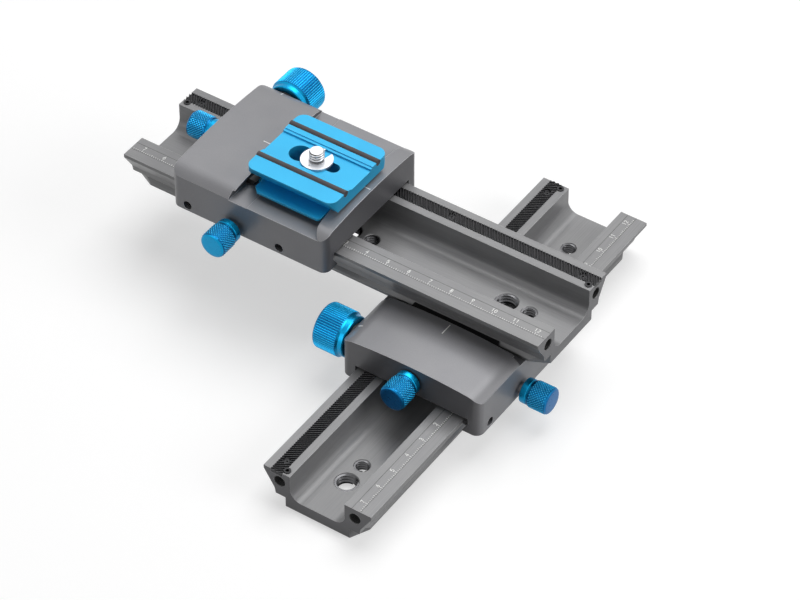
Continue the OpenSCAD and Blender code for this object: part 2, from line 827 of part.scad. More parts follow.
module pinion_outline() {
    base_r = pitch_r * cos(pressure_angle);
    rr = [pinion_root_r, max(pinion_root_r, base_r), pinion_tip_r];
    rows = [rr[0], (pitch_r + base_r) / 2, rr[2]];
    step = 360 / pinion_teeth;
    polygon([for (i = [0:pinion_teeth - 1]) each concat(
        [for (k = [0:2])
            let (a = i * step - 90 - tooth_half(rows[k])) rows[k] * [cos(a), sin(a)]],
        [for (k = [2:-1:0])
            let (a = i * step - 90 + tooth_half(rows[k])) rows[k] * [cos(a), sin(a)]]
    )]);
}

module pinion_body(unit_x) {
    tw = tan(helix_angle) * pinion_w / pitch_r * 180 / PI;
    translate([drive_x, rack_y, drive_z]) difference() {
        rotate([90, 0, 0]) rotate([0, 0, pinion_turn(unit_x + drive_x)])
            linear_extrude(height = pinion_w, center = true, twist = -tw,
                slices = pinion_slices, convexity = 4)
            rotate(-tw / 2) pinion_outline();
        rod_y(shaft_r + seat_play, -pinion_w, pinion_w);
    }
}

// Outline of the ribbed grip
module rib_outline() {
    step = 360 / drive_ribs;
    polygon([for (i = [0:drive_ribs - 1]) each [
        for (p = [[0, 1], [1 / 4, 1], [1 / 2, 0], [3 / 4, 0]])
            (drive_grip_r - drive_rib_d * (1 - p[1]))
                * [cos((i + p[0]) * step), sin((i + p[0]) * step)]
    ]]);
}

// Drive knob along Z from 0
module drive_knob_form() {
    g0 = drive_collar_len + drive_bevel;
    len = g0 + drive_grip_len;
    core_r = drive_collar_r - collar_chamfer;
    difference() {
        union() {
            rotate_extrude() polygon([
                [0, 0], [core_r, 0], [drive_collar_r, collar_chamfer],
                [drive_collar_r, drive_collar_len], [core_r, drive_collar_len],
                [core_r, g0], [0, g0]
            ]);
            intersection() {
                translate([0, 0, drive_collar_len])
                    linear_extrude(height = drive_bevel + drive_grip_len) rib_outline();
                rotate_extrude() union() {
                    polygon([
                        [0, drive_collar_len], [drive_collar_r, drive_collar_len],
                        [drive_grip_r, g0], [drive_grip_r, len - drive_edge_r],
                        [0, len - drive_edge_r]
                    ]);
                    square([drive_grip_r - drive_edge_r, len]);
                    translate([drive_grip_r - drive_edge_r, len - drive_edge_r])
                        circle(r = drive_edge_r);
                }
            }
        }
        rod_z(shaft_r + seat_play, -over, len - knob_wall + end_play);
        translate([0, 0, drive_collar_len / 2]) rotate([90, 0, 0])
            rod_z(grub_r + seat_play, 0, drive_collar_r + over);
    }
}

module drive_knob_body() {
    translate([drive_x, drive_knob_y0, drive_z]) rotate([-90, 0, 0])
        rotate([0, 0, 180]) drive_knob_form();
}

module drive_grub_body() {
    translate([drive_x, drive_knob_y0, drive_z]) rotate([-90, 0, 0]) rotate([0, 0, 180])
        translate([0, 0, drive_collar_len / 2]) rotate([90, 0, 0]) difference() {
            rod_z(grub_r, shaft_r + push_play, shaft_r + push_play + grub_len);
            hex_socket(grub_r, shaft_r + push_play + grub_len);
        }
}

// The knobs of lock and clamp, their screws, the lock's pad and the moving jaw

// Knob along Z from 0, with a blind bore for its screw
module small_knob_form(bore_r) {
    g0 = collar_len + neck_len;
    difference() {
        rotate_extrude() polygon([
            [0, 0], [collar_r - collar_chamfer, 0], [collar_r, collar_chamfer],
            [collar_r, collar_len - collar_chamfer], [collar_r - collar_chamfer, collar_len],
            [grip_r - neck_d, collar_len], [grip_r - neck_d, g0],
            [grip_r - collar_chamfer, g0], [grip_r, g0 + collar_chamfer],
            [grip_r, knob_len - knob_chamfer], [grip_r - knob_chamfer, knob_len],
            [0, knob_len]
        ]);
        rod_z(bore_r + seat_play, -over, knob_len - knob_wall + end_play);
    }
}

module lock_knob_body() {
    translate([lock_x, -side_y - lock_knob_gap, lock_z]) rotate([90, 0, 0])
        small_knob_form(lock_screw_r);
}

// Middle of the lock's pad and screw: where the one ends and the other starts
lock_join_y = -(side_y + wall_left) / 2;

module lock_screw_body() {
    translate([lock_x, 0, lock_z])
        rod_y(lock_screw_r, -side_y - lock_knob_gap - knob_len + knob_wall, lock_join_y);
}

module lock_pad_body() {
    difference() {
        translate([lock_x, 0, lock_z])
            rod_y(lock_pad_r, lock_join_y + push_play, -rail_w / 2 + glide_leg);
        translate([0, lock_gap, 0]) mirror([0, 1, 0])
            along_x(lock_x - grip_r, lock_x + grip_r) pad_cut_outline();
    }
}

// Everything in front of the gib's back, moved out by the open lock's gap
module pad_cut_outline() {
    low = wing_z - lock_z + lock_pad_r + over;
    out = 2 * lock_gap + run_gap + gib_t;
    polygon([
        [0, open_top + over], [rail_w / 2 + out, open_top + over],
        [rail_w / 2 + out, wing_z],
        [rail_w / 2 + out - low * wing_slope, wing_z - low], [0, wing_z - low]
    ]);
}

module clamp_knob_body() {
    translate([clamp_knob_x1, 0, clamp_z]) rotate([0, -90, 0])
        small_knob_form(clamp_screw_r);
}

module clamp_screw_body() {
    neck_x1 = jaw_back + clamp_neck_len;
    translate([0, 0, clamp_z]) {
        rod_x(clamp_screw_r, clamp_knob_x1 - knob_len + knob_wall, jaw_back - end_play);
        rod_x(clamp_screw_r - clamp_neck_d, jaw_back - end_play - seat_play,
            neck_x1 + seat_play);
        rod_x(clamp_screw_r, neck_x1, neck_x1 + clamp_head_len);
    }
}

// Moving jaw: nose with a 45 degree undercut face, and a boss that hangs on the screw
module clamp_jaw_body() {
    neck_x1 = jaw_back + clamp_neck_len;
    edge_z = seat_z + foot_edge_h;
    head_gap = push_play;
    difference() {
        union() {
            along_y(-jaw_half, jaw_half) polygon([
                [jaw_back, jaw_z0], [jaw_tip, jaw_z0], [jaw_tip, edge_z],
                [jaw_tip + jaw_z1 - edge_z, jaw_z1], [jaw_back, jaw_z1]
            ]);
            box(jaw_back, jaw_back + boss_len, -boss_half, boss_half, boss_z0, jaw_z0 + push_play);
        }
        // Slot for the screw's neck, and the wider one for its head, open below
        translate([0, 0, clamp_z])
            rod_x(clamp_screw_r - clamp_neck_d + 2 * turn_play, jaw_back - over, neck_x1);
        box(jaw_back - over, neck_x1,
            -clamp_screw_r + clamp_neck_d - 2 * turn_play,
            clamp_screw_r - clamp_neck_d + 2 * turn_play, boss_z0 - over, clamp_z);
        translate([0, 0, clamp_z])
            rod_x(clamp_screw_r + 2 * turn_play, neck_x1 - head_gap,
                neck_x1 + clamp_head_len + head_gap);
        box(neck_x1 - head_gap, neck_x1 + clamp_head_len + head_gap,
            -clamp_screw_r - 2 * turn_play, clamp_screw_r + 2 * turn_play,
            boss_z0 - over, clamp_z);
    }
}

// The quick plate, in the frame of the clamped foot's middle and underside

module on_plate() {
    on_upper_car() translate([foot_x, plate_y, seat_z]) children();
}

module plate_foot_outline() {
    polygon([
        [-foot_w / 2, 0], [foot_w / 2, 0], [foot_w / 2, foot_edge_h],
        [plate_neck_half, foot_h], [plate_neck_half, plate_foot_h + over],
        [-plate_neck_half, plate_foot_h + over],
        [-plate_neck_half, foot_h], [-foot_w / 2, foot_edge_h]
    ]);
}

// The plate seen from its side: front and rear lean in below an upright edge
module plate_side_outline() {
    slope = plate_lean / (plate_t - plate_edge_h);
    low = plate_w / 2 - plate_lean - slope * over;
    high = plate_w / 2 + slope * (plate_edge_h + over);
    polygon([
        [-low, plate_foot_h - over], [low, plate_foot_h - over],
        [high, plate_top + over], [-high, plate_top + over]
    ]);
}

// Tongue in front of the plate: one corner cut, the other ones round
module tongue_outline() {
    y0 = -plate_w / 2 - tongue_reach;
    difference() {
        translate([0, y0 / 2]) round_rect(tongue_len, -y0, tongue_r);
        polygon([
            [-tongue_len / 2 - over, y0 - over], [-tongue_len / 2 + tongue_chamfer + over, y0 - over],
            [-tongue_len / 2 - over, y0 + tongue_chamfer + over]
        ]);
    }
}

module keyhole_outline() {
    translate([-slot_half, 0]) circle(r = slot_wide_r);
    translate([slot_half, 0]) circle(r = slot_r);
    translate([-slot_half, -slot_r]) square([2 * slot_half, 2 * slot_r]);
}

module cord_cut(y) {
    translate([0, y, plate_top - cord_r + cord_proud])
        rod_x(cord_r + turn_play, -plate_len / 2 - over, plate_len / 2 + over);
}

module plate_body() {
    // Mouth of the head's recess
    rec_l = slot_half + head_r + slot_gap + end_play;
    rec_w = head_r + slot_gap + end_play;
    difference() {
        union() {
            intersection() {
                translate([0, 0, plate_foot_h]) linear_extrude(height = plate_t)
                    round_rect(plate_len, plate_w, plate_corner_r);
                along_x(-plate_len / 2 - over, plate_len / 2 + over) plate_side_outline();
            }
            along_y(-plate_w / 2 + foot_end_inset, plate_w / 2 - foot_end_inset)
                plate_foot_outline();
            translate([0, 0, tongue_top - tongue_t]) linear_extrude(height = tongue_t)
                tongue_outline();
        }
        // Sunk band with a ledge on each side
        box(-plate_len / 2 - over, plate_len / 2 + over, band_front, band_rear,
            band_z, plate_top + over);
        box(-plate_len / 2 - over, plate_len / 2 + over, band_front - ledge_w,
            band_rear + ledge_w, plate_top - ledge_d, plate_top + over);
        cord_cut(cord_front);
        cord_cut(cord_rear);
        // Keyhole slot, and the recess for the screw's head
        translate([0, 0, -over]) linear_extrude(height = plate_top + 2 * over)
            keyhole_outline();
        translate([0, 0, -over]) linear_extrude(height = head_ceiling + over)
            round_rect(2 * rec_l, 2 * rec_w, rec_w - seat_play);
    }
}

module cord_pair() {
    for (y = [cord_front, cord_rear]) {
        translate([0, y, plate_top - cord_r + cord_proud])
            rod_x(cord_r, -plate_len / 2, plate_len / 2);
    }
}

module washer_body() {
    reach = washer_r + over;
    difference() {
        rod_z(washer_r, washer_z0, washer_z1);
        rod_z(shank_r + slot_gap, washer_z0 - over, washer_z1 + over);
        rotate([0, 0, notch_turn])
            box(0, reach, -notch_w / 2, notch_w / 2, washer_z0 - over, washer_z1 + over);
        rotate([0, 0, notch_turn + dot_turn]) translate([dot_at, 0, 0])
            rod_z(dot_r, washer_z1 - dot_d, washer_z1 + over);
    }
}

module camera_screw_body() {
    difference() {
        union() {
            rod_z(head_r, head_ceiling - end_play / 2 - head_t, head_ceiling - end_play / 2);
            rod_z(shank_r, head_ceiling - end_play, stud_z0 + seat_play);
            rod_z(stud_r, stud_z0, stud_z0 + stud_len - tip_chamfer);
            translate([0, 0, stud_z0 + stud_len - tip_chamfer])
                cylinder(r1 = stud_r, r2 = stud_r - tip_chamfer, h = tip_chamfer);
        }
        box(-head_r - over, head_r + over, -coin_w / 2, coin_w / 2,
            -over, head_ceiling - end_play / 2 - head_t + coin_d);
    }
}

// The sub-parts in their places

module lower_rail() { color("#808083") lower_unit() rail_body(); }
module lower_rack() { color("#1c1c1e") lower_unit() rack_body(); }
module lower_rack_screws() { color("#2a2a2c") lower_unit() rack_screw_set(); }
module lower_stop_screws() { color("#8c8c8e") lower_unit() stop_screw_set(); }
module lower_carriage() { color("#77777a") on_lower_car() car_body(); }
module lower_glide_strip() { color("#1a1a1b") on_lower_car() glide_body(); }
module lower_gib() { color("#202022") on_lower_car() gib_body(); }
module lower_gib_screws() { color("#2a2a2c") on_lower_car() gib_screw_set(); }
module lower_drive_bush() { color("#18181a") on_lower_car() bush_body(); }
module lower_drive_shaft() { color("#b8b8ba") on_lower_car() shaft_body(); }
module lower_pinion() { color("#a08a50") on_lower_car() pinion_body(lower_car_x); }
module lower_drive_knob() { color("#0a84c4") on_lower_car() drive_knob_body(); }
module lower_drive_knob_screw() { color("#2a2a2c") on_lower_car() drive_grub_body(); }
module lower_lock_knob() { color("#0a84c4") on_lower_car() lock_knob_body(); }
module lower_lock_screw() { color("#b8b8ba") on_lower_car() lock_screw_body(); }
module lower_lock_pad() { color("#b89a50") on_lower_car() lock_pad_body(); }
module lower_clamp_knob() { color("#0a84c4") on_lower_car() clamp_knob_body(); }
module lower_clamp_screw() { color("#b8b8ba") on_lower_car() clamp_screw_body(); }
module lower_clamp_jaw() { color("#1c1c1e") on_lower_car() clamp_jaw_body(); }

module upper_rail() { color("#808083") upper_unit() rail_body(); }
module upper_rack() { color("#1c1c1e") upper_unit() rack_body(); }
module upper_rack_screws() { color("#2a2a2c") upper_unit() rack_screw_set(); }
module upper_stop_screws() { color("#8c8c8e") upper_unit() stop_screw_set(); }
module upper_carriage() { color("#77777a") on_upper_car() car_body(); }
module upper_glide_strip() { color("#1a1a1b") on_upper_car() glide_body(); }
module upper_gib() { color("#202022") on_upper_car() gib_body(); }
module upper_gib_screws() { color("#2a2a2c") on_upper_car() gib_screw_set(); }
module upper_drive_bush() { color("#18181a") on_upper_car() bush_body(); }
module upper_drive_shaft() { color("#b8b8ba") on_upper_car() shaft_body(); }
module upper_pinion() { color("#a08a50") on_upper_car() pinion_body(upper_car_x); }
module upper_drive_knob() { color("#0a84c4") on_upper_car() drive_knob_body(); }
module upper_drive_knob_screw() { color("#2a2a2c") on_upper_car() drive_grub_body(); }
module upper_lock_knob() { color("#0a84c4") on_upper_car() lock_knob_body(); }
module upper_lock_screw() { color("#b8b8ba") on_upper_car() lock_screw_body(); }
module upper_lock_pad() { color("#b89a50") on_upper_car() lock_pad_body(); }
module upper_clamp_knob() { color("#0a84c4") on_upper_car() clamp_knob_body(); }
module upper_clamp_screw() { color("#b8b8ba") on_upper_car() clamp_screw_body(); }
module upper_clamp_jaw() { color("#1c1c1e") on_upper_car() clamp_jaw_body(); }

module quick_plate() { color("#2fa8e0") on_plate() plate_body(); }
module grip_cords() { color("#3a3436") on_plate() cord_pair(); }
module clip_washer() { color("#e4e4e4") on_plate() washer_body(); }
module camera_screw() { color("#dcdcdc") on_plate() camera_screw_body(); }

lower_rail();
lower_rack();
lower_rack_screws();
lower_stop_screws();
lower_carriage();
lower_glide_strip();
lower_gib();
lower_gib_screws();
lower_drive_bush();
lower_drive_shaft();
lower_pinion();
lower_drive_knob();
lower_drive_knob_screw();
lower_lock_knob();
lower_lock_screw();
lower_lock_pad();
lower_clamp_knob();
lower_clamp_screw();
lower_clamp_jaw();
upper_rail();
upper_rack();
upper_rack_screws();
upper_stop_screws();
upper_carriage();
upper_glide_strip();
upper_gib();
upper_gib_screws();
upper_drive_bush();
upper_drive_shaft();
upper_pinion();
upper_drive_knob();
upper_drive_knob_screw();
upper_lock_knob();
upper_lock_screw();
upper_lock_pad();
upper_clamp_knob();
upper_clamp_screw();
upper_clamp_jaw();
quick_plate();
grip_cords();
clip_washer();
camera_screw();
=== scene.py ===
"""Looks of a crossed macro focusing rail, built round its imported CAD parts."""

import json
import math

import bmesh
import bpy
from bpy.props import FloatProperty, FloatVectorProperty, IntProperty, PointerProperty
from mathutils import Matrix, Vector


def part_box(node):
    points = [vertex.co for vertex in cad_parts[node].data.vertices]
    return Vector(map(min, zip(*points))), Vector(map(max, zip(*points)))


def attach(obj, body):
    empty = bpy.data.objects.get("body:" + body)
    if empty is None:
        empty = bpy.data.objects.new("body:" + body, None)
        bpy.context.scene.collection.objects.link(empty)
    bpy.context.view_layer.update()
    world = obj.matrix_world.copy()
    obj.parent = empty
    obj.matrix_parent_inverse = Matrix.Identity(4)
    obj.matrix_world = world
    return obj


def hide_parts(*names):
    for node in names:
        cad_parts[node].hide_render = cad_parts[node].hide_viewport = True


bl_info = {
    "name": "Macro focusing rail",
    "version": (1, 0, 0),
    "blender": (4, 5, 0),
    "location": "3D View > Sidebar > Macro rail",
    "description": "Finishes, scales, threads and knurls of a crossed macro focusing rail",
    "category": "Object",
}

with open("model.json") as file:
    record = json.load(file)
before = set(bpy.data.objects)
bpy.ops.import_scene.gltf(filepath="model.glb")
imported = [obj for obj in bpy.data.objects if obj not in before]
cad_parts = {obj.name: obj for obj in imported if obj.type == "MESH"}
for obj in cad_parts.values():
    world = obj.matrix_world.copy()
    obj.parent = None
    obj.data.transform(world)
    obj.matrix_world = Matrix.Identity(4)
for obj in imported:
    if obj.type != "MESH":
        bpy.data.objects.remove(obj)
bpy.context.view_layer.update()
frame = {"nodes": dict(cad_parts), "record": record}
MM = 0.001

# Unit frames: X along a rail, Y across it towards the rack, Z up, origin under the rail.
# Each unit has its frame and the place of its carriage along the rail
LOWER = Matrix.Translation((0, 5.3 * MM, 0)) @ Matrix.Rotation(math.pi / 2, 4, "Z")
UPPER = Matrix.Translation((-58.17 * MM, 19.9 * MM, 27.5 * MM))
UNITS = {"lower": (LOWER, 1.05), "upper": (UPPER, -32.35)}

# Places on a unit, in millimetres, and those of the knobs from the carriage's middle
RAIL_TOP = 17.2
LOCK_KNOB_PLACE = (-7.5, -34.5, 14.0)
CLAMP_KNOB_PLACE = (-38.2, 0.0, 24.7)
# Top of a carriage: crown, then a round shoulder from a distance on
CROWN_R = 280.0
CROWN_TOP = 32.0
SHOULDER_R = 9.0
SHOULDER_FROM = 26.66
SHOULDER_CENTRE = (25.8, 21.769)

# Scale of a rail: its zero, its ticks in millimetres and labels in centimetres from there
SCALE_ZERO = -24.85
SCALE_TICKS = range(-74, 124)
SCALE_LABELS = range(-7, 13)
# Ticks and numerals across the rail, and how much longer every fifth and tenth tick is
TICK_FOOT = -19.98
TICK_HALF = 0.11
FIVE_TICK = 1.5
TEN_TICK = 2.1
NUMERAL_MIDDLE = -17.6
# Step from digit to digit and width of a digit, as shares of its height
DIGIT_STEP = 0.86
DIGIT_WIDTH = 0.6
# How sharply a stroke may mitre, and how far it climbs at each point, so that crossings are clean
MITRE_LIMIT = 0.6
STROKE_CLIMB = 0.002
# Place across the rail and half width of the two lines that frame the scale, and half their length
SCALE_LINES = ((-20.13, 0.09), (-16.1, 0.1))
SCALE_REACH = 99.9
# How far paint sinks into its ground and stands out of it
PAINT_SINK = 0.02
PAINT_PROUD = 0.03
LINE_PROUD = 0.015

# Index marks of a carriage: two along its top and one down its shoulder
MARK_HALF = 0.22
TOP_MARKS = ((-15.2, -9.4), (30.4, 36.9))
TOP_MARK_PARTS = 2
SIDE_MARK = -27.5
SIDE_MARK_SPAN = (29.2, 31.3)
SIDE_MARK_PARTS = 6

# Socket pairs along a rail. Each socket has its offset, radius, thread depth and pitch
SOCKET_PAIRS = (-75.0, 0.0, 75.0)
SOCKETS = ((-5.3, 4.76, 0.8, 1.5875), (5.3, 3.175, 0.62, 1.27))
SOCKET_THREAD_SPAN = (0.25, 4.85)
# Bores of a rail's ends: place, radius, thread and the dark lining of painted shade, which starts
# inside the mouth
END_BORE_PLACE = (100.0, 17.55, 12.2)
END_BORE_R = 2.6
END_THREAD_DEPTH = 0.25
END_THREAD_PITCH = 0.8
END_THREAD_SPAN = (0.4, 5.3)
END_LINING_R = 2.57
END_LINING_FROM = 0.6
# Ridge of an inner thread: how far its foot sinks into the wall in millimetres, and the half
# widths of foot and crest as shares of the pitch
RIDGE_SINK = 0.04
RIDGE_FOOT = 0.46
RIDGE_CREST = 0.06

# Small knobs, along their axis from the back of the collar
GRIP_R = 5.9
GRIP_CHAMFER = 0.4
GRIP_END = 0.6
COLLAR_R = 5.4
COLLAR_LEN = 3.0
NECK_R = 5.1
NECK_LEN = 0.5
KNOB_LEN = 12.4
KNOB_BORE_DEPTH = 10.3
LOCK_BORE_R = 2.52
CLAMP_BORE_R = 3.02
KNOB_PARTS = 72
# Rounded edges, as steps in from the radius and along from the face
COLLAR_EDGE = ((0.45, 0.0), (0.15, 0.12), (0.0, 0.4))
CAP_EDGE = ((0.35, 0.42), (0.6, 0.22), (1.0, 0.04), (1.7, 0.0))
DRIVE_GRIP_RADII = (9.55, 9.9)

# Camera screw
SCREW_R = 3.175
SCREW_THREAD_DEPTH = 0.55
SCREW_PITCH = 1.27
SCREW_THREAD_LEN = 4.3
SCREW_CHAMFER = 0.5
SCREW_PARTS = 56
SHANK_R = 2.5
SHANK_PARTS = 48
HEAD_R = 6.0
HEAD_T = 2.8
HEAD_CHAMFER = 0.15
HEAD_PARTS = 64
COIN_SLOT_HALF = 0.8
COIN_SLOT_DEPTH = 1.2
HALF_DISC_PARTS = 24
# How far the screw's pieces reach into each other, in the head and at the foot of the thread
HEAD_OVERRUN = 0.05
ROD_OVERRUN = 0.02
# Outer thread: rows per turn, how steeply it rises to its flat crest, the share of a pitch over
# which it runs out at its foot and the slope there, and the share of its depth that is root, in painted
# shade
THREAD_ROWS = 8
CREST_GAIN = 1.25
RUN_OUT = 0.4
RUN_OUT_SLOPE = 0.2
ROOT_SHARE = 0.6

# Noise lies mostly between these values, and a ramp over it runs from the one to the other
NOISE_SPAN = (0.3, 0.7)
# Soft clouds in a dye: their size, and the share of the dye at two levels of their noise
CLOUD = 18 * MM
CLOUD_STOPS = ((0.35, (0.93, 0.93, 0.94)), (0.65, (1, 1, 1)))
GRAIN_HEIGHT = 0.02 * MM
# Cosine of the turn between true and softened normal, from no painted edge highlight to the full one
EDGE_TURN = (0.985, 0.8)
# Cosine of the angle to an axis, from a side face to an end face and to a knob's cap, where painted
# shade sets in
END_FACING = (0.45, 0.98)
CAP_FACING = (0.75, 0.9)
PLAIN = (1, 1, 1)
NOTHING = (0, 0, 0)

# Painted shade in a grip's grooves, as a share of the plain colour, and the painted highlight on its
# crests
MILLED_GRIP = ((0.3, 0.42, 0.55), (0.0, 0.02, 0.03))
KNURLED_GRIP = ((0.22, 0.4, 0.52), (0.2, 0.4, 0.4))
# Painted shade: the lower unit's knobs a little darker than the upper's, and every cap darker, most of
# all on the lower unit's small knobs
KNOB_SHADE = {"lower": 0.95, "upper": 1.0}
CAP_SHADE = {"lower": (0.25, 0.42, 0.6), "upper": (0.6, 0.9, 0.9)}

# Paper of the floor: what it gives back to the object, what shows of it, and its glow there
PAPER_LIT = (0.12, 0.12, 0.12)
PAPER_SEEN = (0.5, 0.5, 0.5)
PAPER_GLOW = 0.55
FLOOR_HALF = 6.0
FLOOR_DROP = 0.3 * MM
# Strength of the sky's light on the object
SKY_LIGHT = 0.08
# Soft boxes: place and side in metres, power in watts
LAMPS = {
    "key_softbox": ((-0.12, 0.55, 1.4), 1.2, 17.5),
    "side_softbox": ((1.3, 0.3, 0.8), 0.8, 9.5),
    "front_softbox": ((-0.5, -1.3, 0.5), 0.8, 3.0),
}
LAMP_TARGET = Vector((0, 0, 0.03))
# Camera, solved from the scale's numerals: place and target in millimetres, roll in degrees,
# and focal length in pixels of a picture 800 wide
CAMERA_PLACE = Vector((591.98, -914.51, 1078.43))
CAMERA_TARGET = Vector((-13.71, -18.0, 50.0))
CAMERA_ROLL = 0.07
FOCAL_PIXELS = 3839.21
PICTURE_WIDTH = 800
SENSOR_WIDTH = 36.0


def linear(hex_text):
    """Linear colour of an sRGB hex value."""
    parts = [int(hex_text[i : i + 2], 16) / 255 for i in (1, 3, 5)]
    return tuple(c / 12.92 if c <= 0.04045 else ((c + 0.055) / 1.055) ** 2.4 for c in parts)


def colour_setting(name, description, hex_text):
    """A colour that the panel shows."""
    return FloatVectorProperty(
        name=name, description=description, subtype="COLOR", size=3, min=0, max=1,
        default=linear(hex_text))


def length_setting(name, description, default, smallest):
    """A length that the panel shows, given in millimetres."""
    return FloatProperty(
        name=name, description=description, subtype="DISTANCE", unit="LENGTH",
        default=default * MM, min=smallest * MM)


class RailColours(bpy.types.PropertyGroup):
    """Colours of the finishes"""

    carriage: colour_setting("Carriages", "Blasted and anodised grey", "#868689")
    rail: colour_setting("Rails", "Extruded and anodised grey", "#878788")
    # The end colour is painted shade on the faces that look along a rail or carriage
    cut_end: colour_setting("Cut ends", "Sawn ends of carriages and rails", "#606063")
    knob: colour_setting("Knobs", "Turned and anodised blue", "#0498cc")
    plate: colour_setting("Quick plate", "Milled and anodised blue", "#20abdc")
    rack: colour_setting("Racks", "Blackened steel", "#232325")
    mark: colour_setting("Marks", "White filling of scales and marks", "#f2f2f0")
    cord: colour_setting("Grip cords", "Moulded rubber", "#353134")


class RailSizes(bpy.types.PropertyGroup):
    """Sizes of the fine forms that the CAD solids leave plain"""

    numeral: length_setting("Numeral height", "Height of the scale's numerals", 1.65, 0.5)
    stroke: length_setting("Stroke", "Width of the numerals' strokes", 0.27, 0.05)
    tick: length_setting("Tick", "Length of a millimetre tick", 0.55, 0.1)
    knurl: length_setting("Knurl pitch", "Pitch of the diamond knurl of the small knobs", 1.22, 0.3)
    knurl_depth: length_setting("Knurl depth", "Depth of the diamond knurl", 0.36, 0.05)
    turn_parts: IntProperty(
        name="Facets per turn", description="Facets of a thread round one turn", default=48, min=12)


# Materials


def new_material(name):
    """An empty material with its shader and output joined."""
    made = bpy.data.materials.new(name)
    made.use_nodes = True
    tree = made.node_tree
    tree.nodes.clear()
    shader = add_node(tree, "ShaderNodeBsdfPrincipled")
    add_node(tree, "ShaderNodeOutputMaterial", {"Surface": shader.outputs["BSDF"]})
    return made, tree, shader


def add_node(tree, kind, inputs=None, **settings):
    """Adds one node. Each input is a value, or the output that feeds it."""
    made = tree.nodes.new(kind)
    for name, value in settings.items():
        setattr(made, name, value)
    for socket, value in (inputs or {}).items():
        feed(tree, made.inputs[socket], value)
    return made


def feed(tree, socket, value):
    """Joins an output to a socket, or sets the socket to a plain number, vector or colour."""
    if isinstance(value, bpy.types.NodeSocket):
        tree.links.new(value, socket)
    elif socket.type == "RGBA" and len(value) == 3:
        socket.default_value = (*value, 1.0)
    else:
        socket.default_value = value


def set_shader(tree, shader, **values):
    """Feeds the shader's own sockets."""
    for name, value in values.items():
        feed(tree, shader.inputs[name.replace("_", " ")], value)


def ramp(tree, factor, *stops):
    """Colours over a factor, from stops of a place and a colour."""
    made = add_node(tree, "ShaderNodeValToRGB", {"Fac": factor})
    stretch = made.color_ramp.elements
    while len(stretch) < len(stops):
        stretch.new(0.5)
    for element, (place, colour) in zip(stretch, stops):
        element.position = place
        element.color = (*colour, 1.0)
    return made.outputs["Color"]


def mixed(tree, factor, first, second, blend="MIX"):
    """Two colours mixed by a factor."""
    inputs = {0: factor, 6: first, 7: second}
    made = add_node(tree, "ShaderNodeMix", data_type="RGBA", blend_type=blend)
    for socket, value in inputs.items():
        feed(tree, made.inputs[socket], value)
    return made.outputs[2]


def number_math(tree, operation, *inputs):
    """One step of maths on numbers."""
    made = add_node(tree, "ShaderNodeMath", dict(enumerate(inputs)), operation=operation)
    return made.outputs["Value"]


def vector_math(tree, operation, *inputs):
    """One step of maths on vectors, which gives a vector, a dot product or a length."""
    made = add_node(tree, "ShaderNodeVectorMath", dict(enumerate(inputs)), operation=operation)
    return made.outputs["Value" if operation in ("DOT_PRODUCT", "LENGTH") else "Vector"]


def stretched(tree, value, span, low=0.0, high=1.0, **settings):
    """A span of values stretched to run from low to high."""
    inputs = {"Value": value, "From Min": span[0], "From Max": span[1], "To Min": low, "To Max": high}
    return add_node(tree, "ShaderNodeMapRange", inputs, **settings).outputs["Result"]


def place_on(tree):
    """Place on the object."""
    return add_node(tree, "ShaderNodeTexCoord").outputs["Object"]


def facing(tree, axis):
    """How squarely a face looks along an axis, either way."""
    normal = add_node(tree, "ShaderNodeTexCoord").outputs["Normal"]
    return number_math(tree, "ABSOLUTE", vector_math(tree, "DOT_PRODUCT", normal, axis))


def noise(tree, place, size, detail=2.0, roughness=0.5):
    """Soft noise with features of a size."""
    inputs = {"Vector": place, "Scale": 1 / size, "Detail": detail, "Roughness": roughness}
    return add_node(tree, "ShaderNodeTexNoise", inputs).outputs["Fac"]


def relief(tree, factor, strength, height, normal=None):
    """Normal of a surface that rises with a factor."""
    inputs = {"Height": factor, "Strength": strength, "Distance": height}
    if normal:
        inputs["Normal"] = normal
    return add_node(tree, "ShaderNodeBump", inputs).outputs["Normal"]


def edge_light(tree, width):
    """How near a sharp edge a point is, and the softened normal there."""
    soft = add_node(tree, "ShaderNodeBevel", {"Radius": width}, samples=6).outputs["Normal"]
    plain = add_node(tree, "ShaderNodeNewGeometry").outputs["Normal"]
    return stretched(tree, vector_math(tree, "DOT_PRODUCT", soft, plain), EDGE_TURN), soft


def anodised(name, colour, metallic, roughness, grain, stretch=(1, 1, 1), edge=0.22,
             edge_highlight_colour=None, grooves=None, ends=None, spread=0.1, bump=0.25):
    """Anodised aluminium: a fine grain, soft clouds in its tint and a painted highlight along sharp
    edges.
    Ends are an axis and the colour of the faces that look along it, a painted shade."""
    made, tree, shader = new_material(name)
    place = place_on(tree)
    fine = add_node(tree, "ShaderNodeMapping", {"Vector": place, "Scale": stretch})
    grit = noise(tree, fine.outputs["Vector"], grain, 3.0, 0.6)
    low = [c * (1 - spread) for c in colour]
    high = [min(1, c * (1 + spread)) for c in colour]
    base = ramp(tree, grit, (NOISE_SPAN[0], low), (NOISE_SPAN[1], high))
    tint = ramp(tree, noise(tree, place, CLOUD), *CLOUD_STOPS)
    base = mixed(tree, 1.0, base, tint, "MULTIPLY")
    # Faces that look along the axis get a painted shade
    if ends:
        axis, end_shade_colour = ends
        share = stretched(tree, facing(tree, axis), END_FACING, interpolation_type="SMOOTHSTEP")
        base = mixed(tree, share, base, mixed(tree, 1.0, end_shade_colour, tint, "MULTIPLY"))
    # Painted highlight along sharp edges
    edge_highlight, soft = edge_light(tree, edge * MM)
    base = mixed(tree, edge_highlight, base, edge_highlight_colour or [min(1, c * 2.1 + 0.09) for c in colour])
    if grooves:
        base = groove_shade(tree, base, place, *grooves)
    rough = stretched(tree, grit, NOISE_SPAN, roughness - 0.05, roughness + 0.06)
    normal = relief(tree, grit, bump, GRAIN_HEIGHT, soft)
    set_shader(tree, shader, Base_Color=base, Roughness=rough, Normal=normal, Metallic=metallic)
    return made


